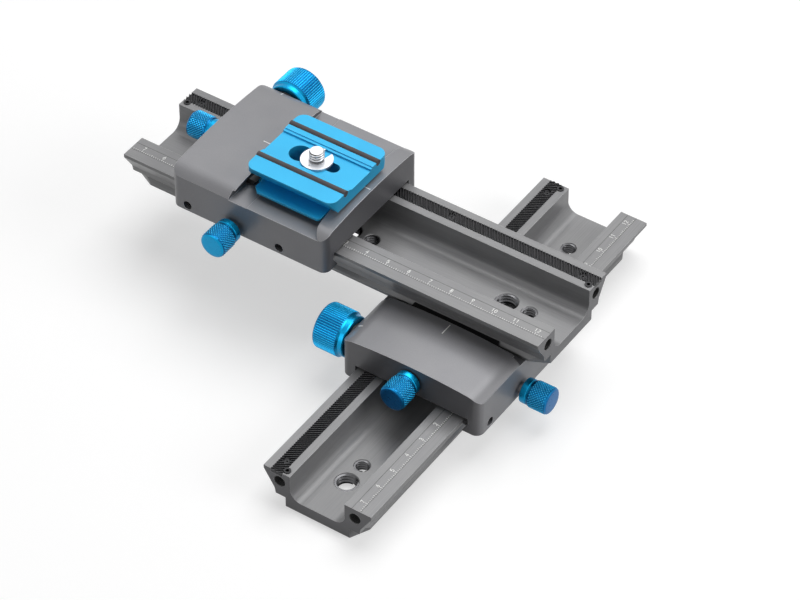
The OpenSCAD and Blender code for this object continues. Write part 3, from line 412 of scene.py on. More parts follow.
def groove_shade(tree, base, place, centre, axis, root, crest, grip, cap_shade):
    """Painted shade in the grooves of a grip and a painted highlight on its crests, by distance from
    its axis.
    Its collar, which lies inside the grooves' depth, keeps the plain colour, and its cap takes its own
    painted shade."""
    groove_shade_colour, glint = grip
    across = tuple(1.0 - a for a in axis)
    moved = vector_math(tree, "SUBTRACT", place, centre)
    away = vector_math(tree, "LENGTH", vector_math(tree, "MULTIPLY", moved, across))
    share = stretched(tree, away, ((2 * root - crest) * MM, crest * MM))
    # Painted shade in the grooves; the cap takes its own painted shade
    shade = ramp(tree, share, (0.3, PLAIN), (0.42, groove_shade_colour), (0.55, groove_shade_colour), (0.8, PLAIN))
    cap = stretched(tree, facing(tree, axis), CAP_FACING)
    base = mixed(tree, 1.0, base, mixed(tree, cap, shade, cap_shade), "MULTIPLY")
    # Painted highlight on the crests, kept off the cap
    pale = ramp(tree, share, (0.86, NOTHING), (1.0, glint))
    return mixed(tree, 1.0, base, mixed(tree, cap, pale, NOTHING), "ADD")


def blasted_grey_aluminium(colours, along, name):
    """Machined block, glass-bead blasted and anodised grey: even satin with a fine sparkle.
    Its two sawn ends get a painted shade darker than the rolled sides, and its edges a painted
    highlight."""
    # Bead grit of 0.1 mm is drawn at 0.35 mm so that it shows
    return anodised(
        "blasted_anodised_aluminium_" + name, colours.carriage, 0.15, 0.38, 0.35 * MM, edge=0.34,
        edge_highlight_colour=linear("#dcdce0"), ends=(along, colours.cut_end), spread=0.05)


def extruded_grey_aluminium(colours, along, name):
    """Extruded bar, anodised grey: fine die lines run along it and glint a little. Its ends get a
    painted shade and its edges a painted highlight.
    """
    # Die lines 0.3 mm apart and some 20 mm long
    stretch = tuple(0.015 if abs(a) > 0.5 else 1.0 for a in along)
    return anodised(
        "extruded_anodised_aluminium_" + name, colours.rail, 0.1, 0.36, 0.3 * MM, stretch=stretch,
        ends=(along, colours.cut_end), bump=0.35)


def turned_blue_aluminium(colour, centre, axis, radii, grip, cap_shade, name):
    """Turned on a lathe, its grip rolled or milled, and anodised bright blue: glossy, with painted
    shade in the grooves and on the cap, and painted highlights on the crests and along the edges."""
    grooves = (centre, tuple(float(letter == axis) for letter in "XYZ"), *radii, grip, cap_shade)
    return anodised(
        "turned_anodised_aluminium_" + name, colour, 0.85, 0.3, 1.2 * MM, edge=0.1,
        edge_highlight_colour=linear("#55c0e6"), grooves=grooves, spread=0.04, bump=0.02)


def milled_blue_aluminium(colours):
    """Milled plate anodised light blue: satin, with a faint grain from the cutter and a painted
    highlight along its edges.
    """
    return anodised(
        "milled_anodised_aluminium_plate", colours.plate, 0.3, 0.4, 0.3 * MM, edge=0.08,
        edge_highlight_colour=linear("#8fdcf4"), spread=0.03, bump=0.1)


def black_aluminium():
    """Milled aluminium, anodised black: matt, with a faint grain and a greyer painted highlight along
    its edges.
    """
    return anodised(
        "black_anodised_aluminium", linear("#232324"), 0.2, 0.5, 0.3 * MM, edge=0.12, spread=0.15)


def grained_metal(name, colour, roughness, grain, dark=0.8, metallic=1.0, bump=0.3,
                  edge_highlight_colour=None, edge=0.1):
    """Bare or blackened metal: fine tool grain in colour, gloss and height, and a painted highlight
    along sharp edges.
    """
    made, tree, shader = new_material(name)
    grit = noise(tree, place_on(tree), grain, 4.0, 0.6)
    base = ramp(tree, grit, (NOISE_SPAN[0], [c * dark for c in colour]), (NOISE_SPAN[1], colour))
    # Painted highlight along sharp edges
    edge_highlight, soft = edge_light(tree, edge * MM)
    base = mixed(tree, edge_highlight, base, edge_highlight_colour or [min(1, c * 1.5 + 0.03) for c in colour])
    rough = stretched(tree, grit, NOISE_SPAN, roughness - 0.06, roughness + 0.08)
    normal = relief(tree, grit, bump, GRAIN_HEIGHT, soft)
    set_shader(tree, shader, Base_Color=base, Roughness=rough, Normal=normal, Metallic=metallic)
    return made


def blackened_steel(colours):
    """Hobbed steel rack, blackened and oiled: near black with soft glints on the teeth, partly a
    painted highlight along their edges.
    """
    return grained_metal(
        "blackened_steel_rack", colours.rack, 0.36, 0.25 * MM, metallic=0.5,
        edge_highlight_colour=linear("#8d8d90"), edge=0.16)


def dark_screw_steel():
    """Alloy steel set screws, blackened: matt black."""
    return grained_metal("blackened_steel_screws", linear("#29292b"), 0.42, 0.2 * MM, metallic=0.6)


def screw_steel():
    """Turned steel, left bare: light grey with a soft sheen."""
    return grained_metal("turned_steel", linear("#a3a3a5"), 0.3, 0.25 * MM)


def plated_steel():
    """Nickel plated steel of the camera screw and its washer: bright satin."""
    return grained_metal(
        "nickel_plated_steel", linear("#cfd0d3"), 0.4, 0.4 * MM, dark=0.94, metallic=0.85, bump=0.1)


def thread_root_steel():
    """Painted shade deep in a thread: plated steel made dark and dull."""
    return grained_metal("thread_root_painted_shade", linear("#565553"), 0.5, 0.3 * MM, metallic=0.6)


def tapped_aluminium():
    """Cut thread in a bored socket, grey anodised and darkened with painted shade: a dark glint along
    each ridge.
    """
    return grained_metal("tapped_aluminium", linear("#5e5e60"), 0.28, 0.3 * MM)


def tapped_end_bore():
    """Small tapped bore in the rail's end, unlit inside: near black painted shade."""
    return grained_metal("end_bore_painted_shade", linear("#111112"), 0.6, 0.3 * MM, metallic=0.2)


def brass():
    """Machined brass of pinion and lock pad: warm yellow with a fine grain."""
    return grained_metal("machined_brass", linear("#b8995a"), 0.3, 0.25 * MM)


def glide_plastic():
    """Black acetal, milled: dull black with a waxy sheen."""
    return grained_metal("milled_acetal", linear("#161617"), 0.5, 0.5 * MM, metallic=0.0)


def cord_rubber(colours):
    """Moulded round rubber cord: dark and matt, with a dusty bloom and a fine mould texture."""
    made, tree, shader = new_material("moulded_rubber")
    place = place_on(tree)
    # Mould grain of 0.15 mm is drawn at 0.3 mm so that it shows
    grit = noise(tree, place, 0.3 * MM, 3.0)
    bare, dusty = ([c * share for c in colours.cord] for share in (0.8, 1.35))
    base = ramp(tree, noise(tree, place, 6 * MM), (0.35, bare), (0.7, dusty))
    normal = relief(tree, grit, 0.4, 0.04 * MM)
    set_shader(tree, shader, Base_Color=base, Normal=normal, Roughness=0.62, IOR=1.52)
    return made


def mark_paint(colours):
    """White enamel wiped into engraved lines: bright and slightly broken at its edges."""
    made, tree, shader = new_material("white_enamel_marks")
    specks = noise(tree, place_on(tree), 0.35 * MM)
    base = ramp(tree, specks, (0.25, [c * 0.75 for c in colours.mark]), (0.45, colours.mark))
    set_shader(tree, shader, Base_Color=base, Roughness=0.5, IOR=1.5)
    return made


def groove_shadow():
    """The unlit bottom of a fine engraved line in grey aluminium: dark grey and dull."""
    made, tree, shader = new_material("engraved_line_in_aluminium")
    specks = noise(tree, place_on(tree), 1.2 * MM)
    base = ramp(tree, specks, (0.3, linear("#3c3c3d")), (0.7, linear("#555556")))
    set_shader(tree, shader, Base_Color=base, Roughness=0.6, Metallic=0.2)
    return made


def matt_paper():
    """Matt white paper of the floor: it gives back little light, but shows near white."""
    made, tree, shader = new_material("matt_white_paper")
    seen = seen_directly(tree)
    base = mixed(tree, seen, PAPER_LIT, PAPER_SEEN)
    glow = number_math(tree, "MULTIPLY", seen, PAPER_GLOW)
    set_shader(
        tree, shader, Base_Color=base, Emission_Strength=glow, Emission_Color=PLAIN, Roughness=0.9)
    return made


def seen_directly(tree):
    """One for camera, glossy and transmission rays, and nought for the light that falls on things."""
    path = add_node(tree, "ShaderNodeLightPath")
    seen = path.outputs["Is Camera Ray"]
    for kind in ("Is Glossy Ray", "Is Transmission Ray"):
        seen = number_math(tree, "MAXIMUM", seen, path.outputs[kind])
    return seen


# Meshes


def piece_from(name, bm, material, body, smooth=0.0):
    """Makes an object from a bmesh, in the row frame, and lets it ride on a body."""
    bmesh.ops.recalc_face_normals(bm, faces=bm.faces)
    mesh = bpy.data.meshes.new(name)
    bm.to_mesh(mesh)
    bm.free()
    mesh.materials.append(material)
    made = bpy.data.objects.new(name, mesh)
    bpy.context.scene.collection.objects.link(made)
    if smooth:
        mesh.shade_smooth()
        mesh.set_sharp_from_angle(angle=math.radians(smooth))
    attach(made, body)
    return made


def paint_nodes(material, *nodes):
    """Gives CAD nodes their finish."""
    for node in nodes:
        mesh = frame["nodes"][node].data
        mesh.materials.clear()
        mesh.materials.append(material)


def add_point(bm, matrix, x, y, z):
    """A point in millimetres."""
    return bm.verts.new(matrix @ (Vector((x, y, z)) * MM))


def add_spoke(bm, matrix, radius, turn, z):
    """A point at a radius from Z, in millimetres, and a share of a turn round it."""
    angle = 2 * math.pi * turn
    return add_point(bm, matrix, radius * math.cos(angle), radius * math.sin(angle), z)


def add_ribbon(bm, rows):
    """Joins rows of four points into a ribbon with closed ends that is open below."""
    for a, b in zip(rows, rows[1:]):
        for i in range(3):
            bm.faces.new((a[i], a[i + 1], b[i + 1], b[i]))
    bm.faces.new(rows[0])
    bm.faces.new(rows[-1])


def add_box(bm, matrix, x0, x1, y0, y1, z0, z1):
    """A box in a unit's millimetres."""
    places = [(x, y, z) for z in (z0, z1) for y in (y0, y1) for x in (x0, x1)]
    corners = [add_point(bm, matrix, *place) for place in places]
    for face in ((0, 2, 3, 1), (4, 5, 7, 6), (0, 1, 5, 4), (2, 6, 7, 3), (0, 4, 6, 2), (1, 3, 7, 5)):
        bm.faces.new([corners[i] for i in face])


def add_stroke(bm, matrix, points, width, z0, z1):
    """A pen stroke of even width through points, as one thin raised ribbon that climbs a hair."""
    rows = []
    for k, point in enumerate(points):
        before = Vector(points[max(0, k - 1)])
        after = Vector(points[min(len(points) - 1, k + 1)])
        here = Vector(point)
        into = (here - before).normalized() if k else (after - here).normalized()
        out = (after - here).normalized() if k < len(points) - 1 else into
        square = Vector((-into.y, into.x))
        side = (square + Vector((-out.y, out.x))).normalized()
        side *= width / 2 / max(MITRE_LIMIT, side.dot(square))
        top = z1 + STROKE_CLIMB * k
        corners = ((here - side, z0), (here - side, top), (here + side, top), (here + side, z0))
        rows.append([add_point(bm, matrix, *flat, z) for flat, z in corners])
    add_ribbon(bm, rows)


def arc(cx, cy, rx, ry, start, end, parts=8):
    """Points on an oval, between two angles in degrees."""
    return [
        (
            cx + rx * math.cos(math.radians(start + (end - start) * k / parts)),
            cy + ry * math.sin(math.radians(start + (end - start) * k / parts)),
        )
        for k in range(parts + 1)
    ]


# Engraver's digits on a box 0.6 wide and 1 high, as pen strokes
DIGITS = {
    "0": [arc(0.3, 0.5, 0.28, 0.5, 90, 450, 14)],
    "1": [[(0.12, 0.78), (0.34, 1.0), (0.34, 0.0)]],
    "2": [arc(0.3, 0.72, 0.27, 0.28, 170, -35, 8) + [(0.02, 0.0), (0.6, 0.0)]],
    "3": [arc(0.29, 0.75, 0.26, 0.25, 150, -90, 8) + arc(0.29, 0.26, 0.3, 0.26, 90, -150, 8)],
    "4": [[(0.44, 0.0), (0.44, 1.0), (0.0, 0.3), (0.6, 0.3)]],
    "5": [[(0.54, 1.0), (0.12, 1.0), (0.07, 0.55)] + arc(0.29, 0.32, 0.29, 0.32, 115, -150, 9)],
    "6": [[(0.48, 1.0), (0.1, 0.48)] + arc(0.3, 0.3, 0.28, 0.3, 150, -210, 12)],
    "7": [[(0.02, 1.0), (0.58, 1.0), (0.2, 0.0)]],
    "8": [arc(0.3, 0.74, 0.24, 0.26, 270, -90, 12) + arc(0.3, 0.25, 0.28, 0.25, 90, -270, 12)],
    "9": [arc(0.3, 0.7, 0.28, 0.3, -30, 330, 12) + [(0.5, 0.52), (0.12, 0.0)]],
}


def add_number(bm, matrix, text, x, y, height, width):
    """A number centred on x and y, in a unit's millimetres."""
    step = DIGIT_STEP * height
    left = x - (step * (len(text) - 1) + DIGIT_WIDTH * height) / 2
    foot = y - height / 2
    for place, digit in enumerate(text):
        for stroke in DIGITS[digit]:
            points = [(left + place * step + px * height, foot + py * height) for px, py in stroke]
            add_stroke(bm, matrix, points, width, RAIL_TOP - PAINT_SINK, RAIL_TOP + PAINT_PROUD)


def add_inner_thread(bm, matrix, wall_r, depth, pitch, z0, z1, parts):
    """Thread ridge that winds up the wall of a bore along Z, in millimetres."""
    turns = (z1 - z0) / pitch + 1
    foot_r, crest_r = wall_r + RIDGE_SINK, wall_r - depth
    foot, crest = RIDGE_FOOT * pitch, RIDGE_CREST * pitch
    section = ((foot_r, -foot), (crest_r, -crest), (crest_r, crest), (foot_r, foot))
    rows = []
    for k in range(int(turns * parts) + 1):
        middle = z0 - pitch / 2 + pitch * k / parts
        heights = [min(z1, max(z0, middle + rise)) for _, rise in section]
        rows.append([add_spoke(bm, matrix, r, k / parts, z) for (r, _), z in zip(section, heights)])
    for a, b in zip(rows, rows[1:]):
        for i in range(4):
            bm.faces.new((a[i], a[(i + 1) % 4], b[(i + 1) % 4], b[i]))
    bm.faces.new(rows[0])
    bm.faces.new(rows[-1])


def add_turned(bm, matrix, profile, parts):
    """Turns a profile of radius and height round Z. Ends on the axis are closed."""
    rings = []
    for r, z in profile:
        spokes = range(parts) if r else (0,)
        rings.append([add_spoke(bm, matrix, r, k / parts, z) for k in spokes])
    for a, b in zip(rings, rings[1:]):
        for k in range(parts):
            n = (k + 1) % parts
            if len(a) == 1 and len(b) > 1:
                bm.faces.new((a[0], b[k], b[n]))
            elif len(b) == 1 and len(a) > 1:
                bm.faces.new((a[k], b[0], a[n]))
            elif len(a) > 1:
                bm.faces.new((a[k], b[k], b[n], a[n]))


def add_knurl(bm, matrix, radius, depth, z0, z1, pitch):
    """A band of true diamond pyramids between z0 and z1."""
    round_count = 2 * max(12, round(2 * math.pi * radius / pitch))
    rows = 2 * max(2, round((z1 - z0) / pitch))
    rings = []
    for j in range(rows + 1):
        z = z0 + (z1 - z0) * j / rows
        ring = []
        for i in range(round_count):
            peak = (i + j) % 2 == 1 and 0 < j < rows
            r = radius if peak else radius - depth
            ring.append(add_spoke(bm, matrix, r, i / round_count, z))
        rings.append(ring)
    for j in range(rows):
        for i in range(round_count):
            n = (i + 1) % round_count
            a, b, c, d = rings[j][i], rings[j][n], rings[j + 1][n], rings[j + 1][i]
            if (i + j) % 2 == 0:
                bm.faces.new((a, b, c))
                bm.faces.new((a, c, d))
            else:
                bm.faces.new((a, b, d))
                bm.faces.new((b, c, d))


def add_threaded_rod(bm, matrix, radius, depth, pitch, z0, z1, parts, chamfer):
    """An outer thread between z0 and z1, with a chamfered tip and closed ends. Its root takes
    the second material, a painted shade."""
    rows = max(4, round((z1 - z0) / pitch * THREAD_ROWS))
    rings = []
    for j in range(rows + 1):
        z = z0 + (z1 - z0) * j / rows
        ring = []
        for k in range(parts):
            phase = (z / pitch - k / parts) % 1.0
            wave = 1 - abs(2 * phase - 1)
            r = radius - depth * (1 - min(1.0, wave * CREST_GAIN))
            r = min(r, radius - chamfer + max(0.0, z1 - z))
            if z - z0 < pitch * RUN_OUT:
                r = min(r, radius - depth + (z - z0) * RUN_OUT_SLOPE)
            ring.append(add_spoke(bm, matrix, r, k / parts, z))
        rings.append(ring)
    for a, b in zip(rings, rings[1:]):
        for k in range(parts):
            n = (k + 1) % parts
            face = bm.faces.new((a[k], a[n], b[n], b[k]))
            middle = (matrix.inverted() @ face.calc_center_median()) / MM
            # Faces deep in the root take the second material, a painted shade
            face.material_index = int(middle.xy.length < radius - ROOT_SHARE * depth)
    top = add_point(bm, matrix, 0, 0, z1)
    for k in range(parts):
        bm.faces.new((rings[-1][k], rings[-1][(k + 1) % parts], top))
    bottom = add_point(bm, matrix, 0, 0, z0)
    for k in range(parts):
        bm.faces.new((rings[0][(k + 1) % parts], rings[0][k], bottom))


def carriage_top(y):
    """Height of a carriage's top at a distance from its middle: crown, then round shoulder."""
    if abs(y) < SHOULDER_FROM:
        return CROWN_TOP - CROWN_R + math.sqrt(CROWN_R * CROWN_R - y * y)
    away = abs(y) - SHOULDER_CENTRE[0]
    return SHOULDER_CENTRE[1] + math.sqrt(SHOULDER_R * SHOULDER_R - away * away)


def add_draped(bm, matrix, x0, x1, y0, y1, parts, lift):
    """A thin strip of paint that follows a carriage's top from y0 to y1."""
    steps = [y0 + (y1 - y0) * k / parts for k in range(parts + 1)]
    rows = []
    for y in steps:
        z = carriage_top(y)
        places = ((x0, z - lift), (x0, z + lift), (x1, z + lift), (x1, z - lift))
        rows.append([add_point(bm, matrix, x, y, height) for x, height in places])
    add_ribbon(bm, rows)


# Operators


class FinishRails(bpy.types.Operator):
    """Give both rails their extruded grey finish"""

    bl_idname = "macro_rail.finish_rails"
    bl_label = "Rails"

    def execute(self, context):
        colours = context.scene.rail_colours
        paint_nodes(extruded_grey_aluminium(colours, (0, 1, 0), "lower"), "lower_rail")
        paint_nodes(extruded_grey_aluminium(colours, (1, 0, 0), "upper"), "upper_rail")
        return {"FINISHED"}


class FinishCarriages(bpy.types.Operator):
    """Give both carriages their blasted grey finish, and their glides black plastic"""

    bl_idname = "macro_rail.finish_carriages"
    bl_label = "Carriages and glides"

    def execute(self, context):
        colours = context.scene.rail_colours
        paint_nodes(blasted_grey_aluminium(colours, (0, 1, 0), "lower"), "lower_carriage")
        paint_nodes(blasted_grey_aluminium(colours, (1, 0, 0), "upper"), "upper_carriage")
        paint_nodes(glide_plastic(), "lower_glide_strip", "lower_gib", "upper_glide_strip", "upper_gib")
        return {"FINISHED"}


class FinishSteel(bpy.types.Operator):
    """Give racks, screws, shafts and pinions their metals"""

    bl_idname = "macro_rail.finish_steel"
    bl_label = "Racks, screws and shafts"

    def execute(self, context):
        colours = context.scene.rail_colours
        rack, dark = blackened_steel(colours), dark_screw_steel()
        bright, yellow = screw_steel(), brass()
        for unit in UNITS:
            paint_nodes(rack, unit + "_rack")
            for part in ("_rack_screws", "_stop_screws", "_gib_screws", "_drive_knob_screw"):
                paint_nodes(dark, unit + part)
            for part in ("_drive_shaft", "_lock_screw", "_clamp_screw"):
                paint_nodes(bright, unit + part)
            paint_nodes(yellow, unit + "_pinion", unit + "_lock_pad")
        return {"FINISHED"}


class FinishDrives(bpy.types.Operator):
    """Give drive knobs, bushes and clamp jaws their anodised finish"""

    bl_idname = "macro_rail.finish_drives"
    bl_label = "Drive knobs, bushes and jaws"

    def execute(self, context):
        colours = context.scene.rail_colours
        black = black_aluminium()
        for unit, axis in (("lower", "X"), ("upper", "Y")):
            node = unit + "_drive_knob"
            low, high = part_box(node)
            # Knob colour with the unit's painted shade
            tint = tuple(c * KNOB_SHADE[unit] for c in colours.knob)
            middle = (low + high) / 2
            grip = (DRIVE_GRIP_RADII, MILLED_GRIP)
            blue = turned_blue_aluminium(tint, middle, axis, *grip, CAP_SHADE["upper"], node)
            paint_nodes(blue, node)
            paint_nodes(black, unit + "_drive_bush", unit + "_clamp_jaw")
        return {"FINISHED"}


class KnurledKnobs(bpy.types.Operator):
    """Build the four small knobs with their diamond knurl"""

    bl_idname = "macro_rail.knurled_knobs"
    bl_label = "Knurled knobs"

    def execute(self, context):
        sizes = context.scene.rail_sizes
        colours = context.scene.rail_colours
        for unit, (matrix, car_x) in UNITS.items():
            carriage = matrix @ Matrix.Translation((car_x * MM, 0, 0))
            lock = carriage @ Matrix.Translation(Vector(LOCK_KNOB_PLACE) * MM)
            lock = lock @ Matrix.Rotation(math.pi / 2, 4, "X")
            clamp = carriage @ Matrix.Translation(Vector(CLAMP_KNOB_PLACE) * MM)
            clamp = clamp @ Matrix.Rotation(-math.pi / 2, 4, "Y")
            across, along = ("X", "Y") if unit == "lower" else ("Y", "X")
            self.knob(unit + "_lock_knob", lock, across, LOCK_BORE_R, sizes, colours)
            self.knob(unit + "_clamp_knob", clamp, along, CLAMP_BORE_R, sizes, colours)
        return {"FINISHED"}

    def knob(self, node, place, axis, bore, sizes, colours):
        """One knob along Z: collar, neck, knurled grip and a rounded cap."""
        low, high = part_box(node)
        depth = sizes.knurl_depth / MM
        unit = node.split("_")[0]
        # Knob colour with the unit's painted shade
        tint = tuple(c * KNOB_SHADE[unit] for c in colours.knob)
        middle = (low + high) / 2
        grip = ((GRIP_R - depth, GRIP_R), KNURLED_GRIP)
        material = turned_blue_aluminium(tint, middle, axis, *grip, CAP_SHADE[unit], node)
        back = [(COLLAR_R - inward, along) for inward, along in COLLAR_EDGE]
        front = [(r, COLLAR_LEN - z) for r, z in reversed(back)]
        grip_back = COLLAR_LEN + NECK_LEN
        bottom = grip_back + GRIP_CHAMFER
        top = KNOB_LEN - GRIP_END
        neck = [(NECK_R, COLLAR_LEN), (NECK_R, grip_back), (GRIP_R - GRIP_CHAMFER, grip_back)]
        bore_end = (bore, KNOB_BORE_DEPTH)
        collar = [bore_end, (bore, 0), *back, *front, *neck, (GRIP_R - depth, bottom)]
        cap = [(GRIP_R - inward, KNOB_LEN - along) for inward, along in CAP_EDGE]
        bm = bmesh.new()
        add_turned(bm, place, collar, KNOB_PARTS)
        add_knurl(bm, place, GRIP_R, depth, bottom, top, sizes.knurl / MM)
        add_turned(bm, place, [(GRIP_R - depth, top), *cap, (0, KNOB_LEN)], KNOB_PARTS)
        add_turned(bm, place, [(0, KNOB_BORE_DEPTH), bore_end], KNOB_PARTS)
        body = body_holding(node)
        made = piece_from(node + "_knurled", bm, material, body, smooth=24)
        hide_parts(node)


def body_holding(node):
    """Name of the CAD body that holds a node."""
    for body, members in frame["record"]["behaviour"]["bodies"].items():
        if node in members:
            return body
    raise RuntimeError("no body holds " + node)


class RailScales(bpy.types.Operator):
    """Engrave the centimetre scale with its lines, ticks and numerals on both rails"""

    bl_idname = "macro_rail.rail_scales"
    bl_label = "Scales"

    def execute(self, context):
        sizes = context.scene.rail_sizes
        white, dark = mark_paint(context.scene.rail_colours), groove_shadow()
        height, width, tick = (v / MM for v in (sizes.numeral, sizes.stroke, sizes.tick))
        for unit, (matrix, _) in UNITS.items():
            low, high = RAIL_TOP - PAINT_SINK, RAIL_TOP + PAINT_PROUD
            bm = bmesh.new()
            for step in SCALE_TICKS:
                x = step + SCALE_ZERO
                longer = TEN_TICK if step % 10 == 0 else FIVE_TICK if step % 5 == 0 else 1.0
                across = (TICK_FOOT, TICK_FOOT + tick * longer)
                add_box(bm, matrix, x - TICK_HALF, x + TICK_HALF, *across, low, high)
            for label in SCALE_LABELS:
                place = (10 * label + SCALE_ZERO, NUMERAL_MIDDLE)
                add_number(bm, matrix, str(abs(label)), *place, height, width)
            piece_from(unit + "_scale", bm, white, unit + "_rail")
            bm = bmesh.new()
            high = RAIL_TOP + LINE_PROUD
            for y, half in SCALE_LINES:
                add_box(bm, matrix, -SCALE_REACH, SCALE_REACH, y - half, y + half, low, high)
            piece_from(unit + "_scale_lines", bm, dark, unit + "_rail")
        return {"FINISHED"}


class IndexMarks(bpy.types.Operator):
    """Draw the white index marks on both carriages"""

    bl_idname = "macro_rail.index_marks"
    bl_label = "Index marks"

    def execute(self, context):
        white = mark_paint(context.scene.rail_colours)
        for unit, (matrix, car_x) in UNITS.items():
            bm = bmesh.new()
            place = matrix @ Matrix.Translation((car_x * MM, 0, 0))
            for x0, x1 in TOP_MARKS:
                add_draped(bm, place, x0, x1, -MARK_HALF, MARK_HALF, TOP_MARK_PARTS, PAINT_PROUD)
            x0, x1 = SIDE_MARK - MARK_HALF, SIDE_MARK + MARK_HALF
            add_draped(bm, place, x0, x1, *SIDE_MARK_SPAN, SIDE_MARK_PARTS, PAINT_PROUD)
            piece_from(unit + "_index_marks", bm, white, unit + "_carriage")
        return {"FINISHED"}


class BoreThreads(bpy.types.Operator):
    """Cut the threads of the tripod sockets and of the bores in the rails' ends"""

    bl_idname = "macro_rail.bore_threads"
    bl_label = "Threads"

    def execute(self, context):
        parts = context.scene.rail_sizes.turn_parts
        bright = tapped_aluminium()
        black = tapped_end_bore()
        for unit, (matrix, _) in UNITS.items():
            bm = bmesh.new()
            for pair in SOCKET_PAIRS:
                for offset, wall, depth, pitch in SOCKETS:
                    place = matrix @ Matrix.Translation(((pair + offset) * MM, 0, 0))
                    add_inner_thread(bm, place, wall, depth, pitch, *SOCKET_THREAD_SPAN, parts)
            piece_from(unit + "_threads", bm, bright, unit + "_rail", smooth=30)
            bm = bmesh.new()
            x, y, z = END_BORE_PLACE
            bottom = END_THREAD_SPAN[1]
            # The dark lining is painted shade inside the bore
            lining = [(0, bottom), (END_LINING_R, bottom), (END_LINING_R, END_LINING_FROM)]
            thread = (END_BORE_R, END_THREAD_DEPTH, END_THREAD_PITCH, *END_THREAD_SPAN)
            for end, side in ((-1, -1), (-1, 1), (1, -1), (1, 1)):
                place = Matrix.Translation(Vector((end * x, side * y, z)) * MM)
                place = matrix @ place @ Matrix.Rotation(-end * math.pi / 2, 4, "Y")
                add_inner_thread(bm, place, *thread, parts // 2)
                add_turned(bm, place, lining, parts // 2)
            piece_from(unit + "_end_threads", bm, black, unit + "_rail", smooth=30)
        return {"FINISHED"}


class QuickPlate(bpy.types.Operator):
    """Finish the quick plate, its rubber cords and the clip washer"""

    bl_idname = "macro_rail.quick_plate"
    bl_label = "Quick plate, cords and washer"

    def execute(self, context):
        colours = context.scene.rail_colours
        paint_nodes(milled_blue_aluminium(colours), "quick_plate")
        paint_nodes(cord_rubber(colours), "grip_cords")
        paint_nodes(plated_steel(), "clip_washer")
        return {"FINISHED"}


class CameraScrew(bpy.types.Operator):
    """Build the camera screw with its thread and the coin slot in its head"""

    bl_idname = "macro_rail.camera_screw"
    bl_label = "Camera screw"

    def execute(self, context):
        bm = bmesh.new()
        # The rod starts on the washer and ends at the top of the plain CAD screw
        low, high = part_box("camera_screw")
        origin = Matrix.Translation(((low.x + high.x) / 2, (low.y + high.y) / 2, 0))
        top = high.z / MM
        foot = low.z / MM
        start = top - SCREW_THREAD_LEN
        thread = (SCREW_R, SCREW_THREAD_DEPTH, SCREW_PITCH)
        add_threaded_rod(bm, origin, *thread, start, top, SCREW_PARTS, SCREW_CHAMFER)
        shank_foot, shank_top = foot + HEAD_T - HEAD_OVERRUN, start + ROD_OVERRUN
        shank = [(0, shank_foot), (SHANK_R, shank_foot), (SHANK_R, shank_top), (0, shank_top)]
        add_turned(bm, origin, shank, SHANK_PARTS)
        # Head as two half discs over a thinner whole one leaves the coin slot open
        slot_top, head_top = foot + COIN_SLOT_DEPTH, foot + HEAD_T
        rim = [(HEAD_R, slot_top), (HEAD_R, head_top - HEAD_CHAMFER), (HEAD_R - HEAD_CHAMFER, head_top)]
        add_turned(bm, origin, [(0, slot_top), *rim, (0, head_top)], HEAD_PARTS)
        first = math.asin(COIN_SLOT_HALF / HEAD_R)
        sweep = math.pi - 2 * first
        for side in (-1, 1):
            angles = [first + k * sweep / HALF_DISC_PARTS for k in range(HALF_DISC_PARTS + 1)]
            ring = [(HEAD_R * math.cos(t), side * HEAD_R * math.sin(t)) for t in angles]
            lower = [add_point(bm, origin, *place, foot) for place in ring]
            upper = [add_point(bm, origin, *place, slot_top + HEAD_OVERRUN) for place in ring]
            bm.faces.new(lower)
            bm.faces.new(upper)
            for k in range(len(ring)):
                n = (k + 1) % len(ring)
                bm.faces.new((lower[k], lower[n], upper[n], upper[k]))
        material = bpy.data.materials.get("nickel_plated_steel") or plated_steel()
        body = body_holding("camera_screw")
        made = piece_from("camera_screw_threaded", bm, material, body, smooth=40)
        # The second material paints shade into the thread's root
        made.data.materials.append(thread_root_steel())
        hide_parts("camera_screw")
        return {"FINISHED"}


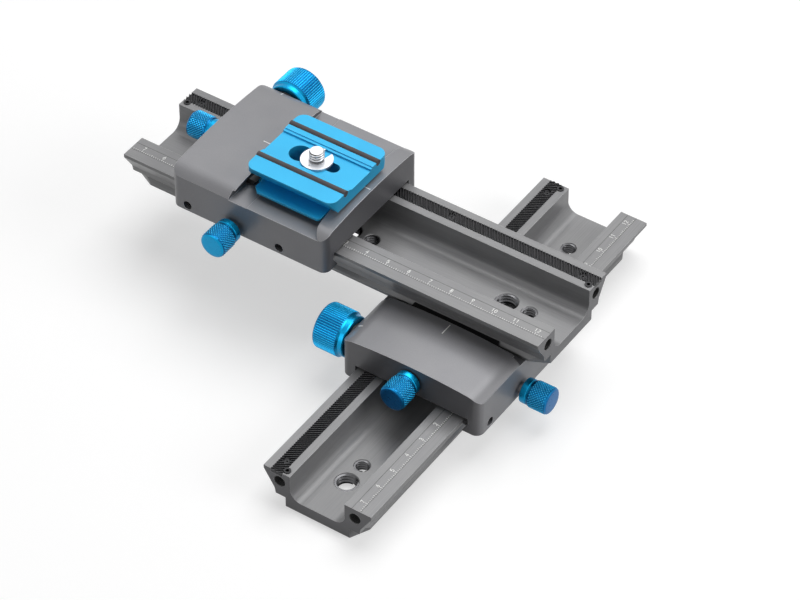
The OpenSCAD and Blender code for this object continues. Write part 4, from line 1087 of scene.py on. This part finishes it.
class Stage(bpy.types.Operator):
    """Set up floor, lamps, world and camera"""

    bl_idname = "macro_rail.stage"
    bl_label = "Stage"

    def execute(self, context):
        self.lay_floor(context.scene)
        self.hang_sky(context.scene)
        self.place_lamps(context.scene)
        self.place_camera(context.scene)
        context.scene.view_settings.view_transform = "Standard"
        return {"FINISHED"}

    def lay_floor(self, scene):
        """A wide plain floor of paper under the object."""
        bm = bmesh.new()
        bmesh.ops.create_grid(bm, x_segments=1, y_segments=1, size=FLOOR_HALF)
        mesh = bpy.data.meshes.new("floor")
        bm.to_mesh(mesh)
        bm.free()
        mesh.materials.append(matt_paper())
        floor = bpy.data.objects.new("floor", mesh)
        floor.location.z = -FLOOR_DROP
        scene.collection.objects.link(floor)

    def hang_sky(self, scene):
        """A sky that shows white, and lights the object only softly."""
        world = bpy.data.worlds.new("studio")
        world.use_nodes = True
        tree = world.node_tree
        tree.nodes.clear()
        strength = stretched(tree, seen_directly(tree), (0.0, 1.0), SKY_LIGHT, 1.0)
        sky = add_node(tree, "ShaderNodeBackground", {"Color": PLAIN, "Strength": strength})
        add_node(tree, "ShaderNodeOutputWorld", {"Surface": sky.outputs["Background"]})
        scene.world = world

    def place_lamps(self, scene):
        """Square soft boxes that look at the object."""
        for name, (place, size, power) in LAMPS.items():
            lamp = bpy.data.lights.new(name, "AREA")
            lamp.shape = "SQUARE"
            lamp.size = size
            lamp.energy = power
            holder = bpy.data.objects.new(name, lamp)
            holder.location = place
            look = (LAMP_TARGET - Vector(place)).to_track_quat("-Z", "Y")
            holder.rotation_euler = look.to_euler()
            scene.collection.objects.link(holder)

    def place_camera(self, scene):
        """The photograph's camera."""
        camera = bpy.data.cameras.new("camera")
        camera.sensor_width = SENSOR_WIDTH
        camera.lens = FOCAL_PIXELS * SENSOR_WIDTH / PICTURE_WIDTH
        camera.clip_start = 0.1
        camera.clip_end = 20.0
        holder = bpy.data.objects.new("camera", camera)
        holder.location = CAMERA_PLACE * MM
        look = (CAMERA_TARGET * MM - holder.location).to_track_quat("-Z", "Y").to_matrix().to_4x4()
        look = look @ Matrix.Rotation(math.radians(CAMERA_ROLL), 4, "Z")
        holder.rotation_euler = look.to_euler()
        scene.collection.objects.link(holder)
        scene.camera = holder


class RailPanel(bpy.types.Panel):
    """Steps, sizes and colours of the macro rail"""

    bl_idname = "VIEW3D_PT_macro_rail"
    bl_label = "Macro rail"
    bl_space_type = "VIEW_3D"
    bl_region_type = "UI"
    bl_category = "Macro rail"

    def draw(self, context):
        for step in STEPS:
            self.layout.operator(step.bl_idname)
        for group in (context.scene.rail_sizes, context.scene.rail_colours):
            box = self.layout.box()
            for name in group.__annotations__:
                box.prop(group, name)


STEPS = (
    FinishRails,
    FinishCarriages,
    FinishSteel,
    FinishDrives,
    KnurledKnobs,
    RailScales,
    IndexMarks,
    BoreThreads,
    QuickPlate,
    CameraScrew,
    Stage,
)
CLASSES = (RailColours, RailSizes, *STEPS, RailPanel)


def register():
    for item in CLASSES:
        bpy.utils.register_class(item)
    bpy.types.Scene.rail_colours = PointerProperty(type=RailColours)
    bpy.types.Scene.rail_sizes = PointerProperty(type=RailSizes)


def unregister():
    del bpy.types.Scene.rail_sizes
    del bpy.types.Scene.rail_colours
    for item in reversed(CLASSES):
        bpy.utils.unregister_class(item)


def main():
    """Builds everything in order."""
    register()
    for step in STEPS:
        group, name = step.bl_idname.split(".")
        getattr(getattr(bpy.ops, group), name)()


if __name__ == "__main__":
    main()
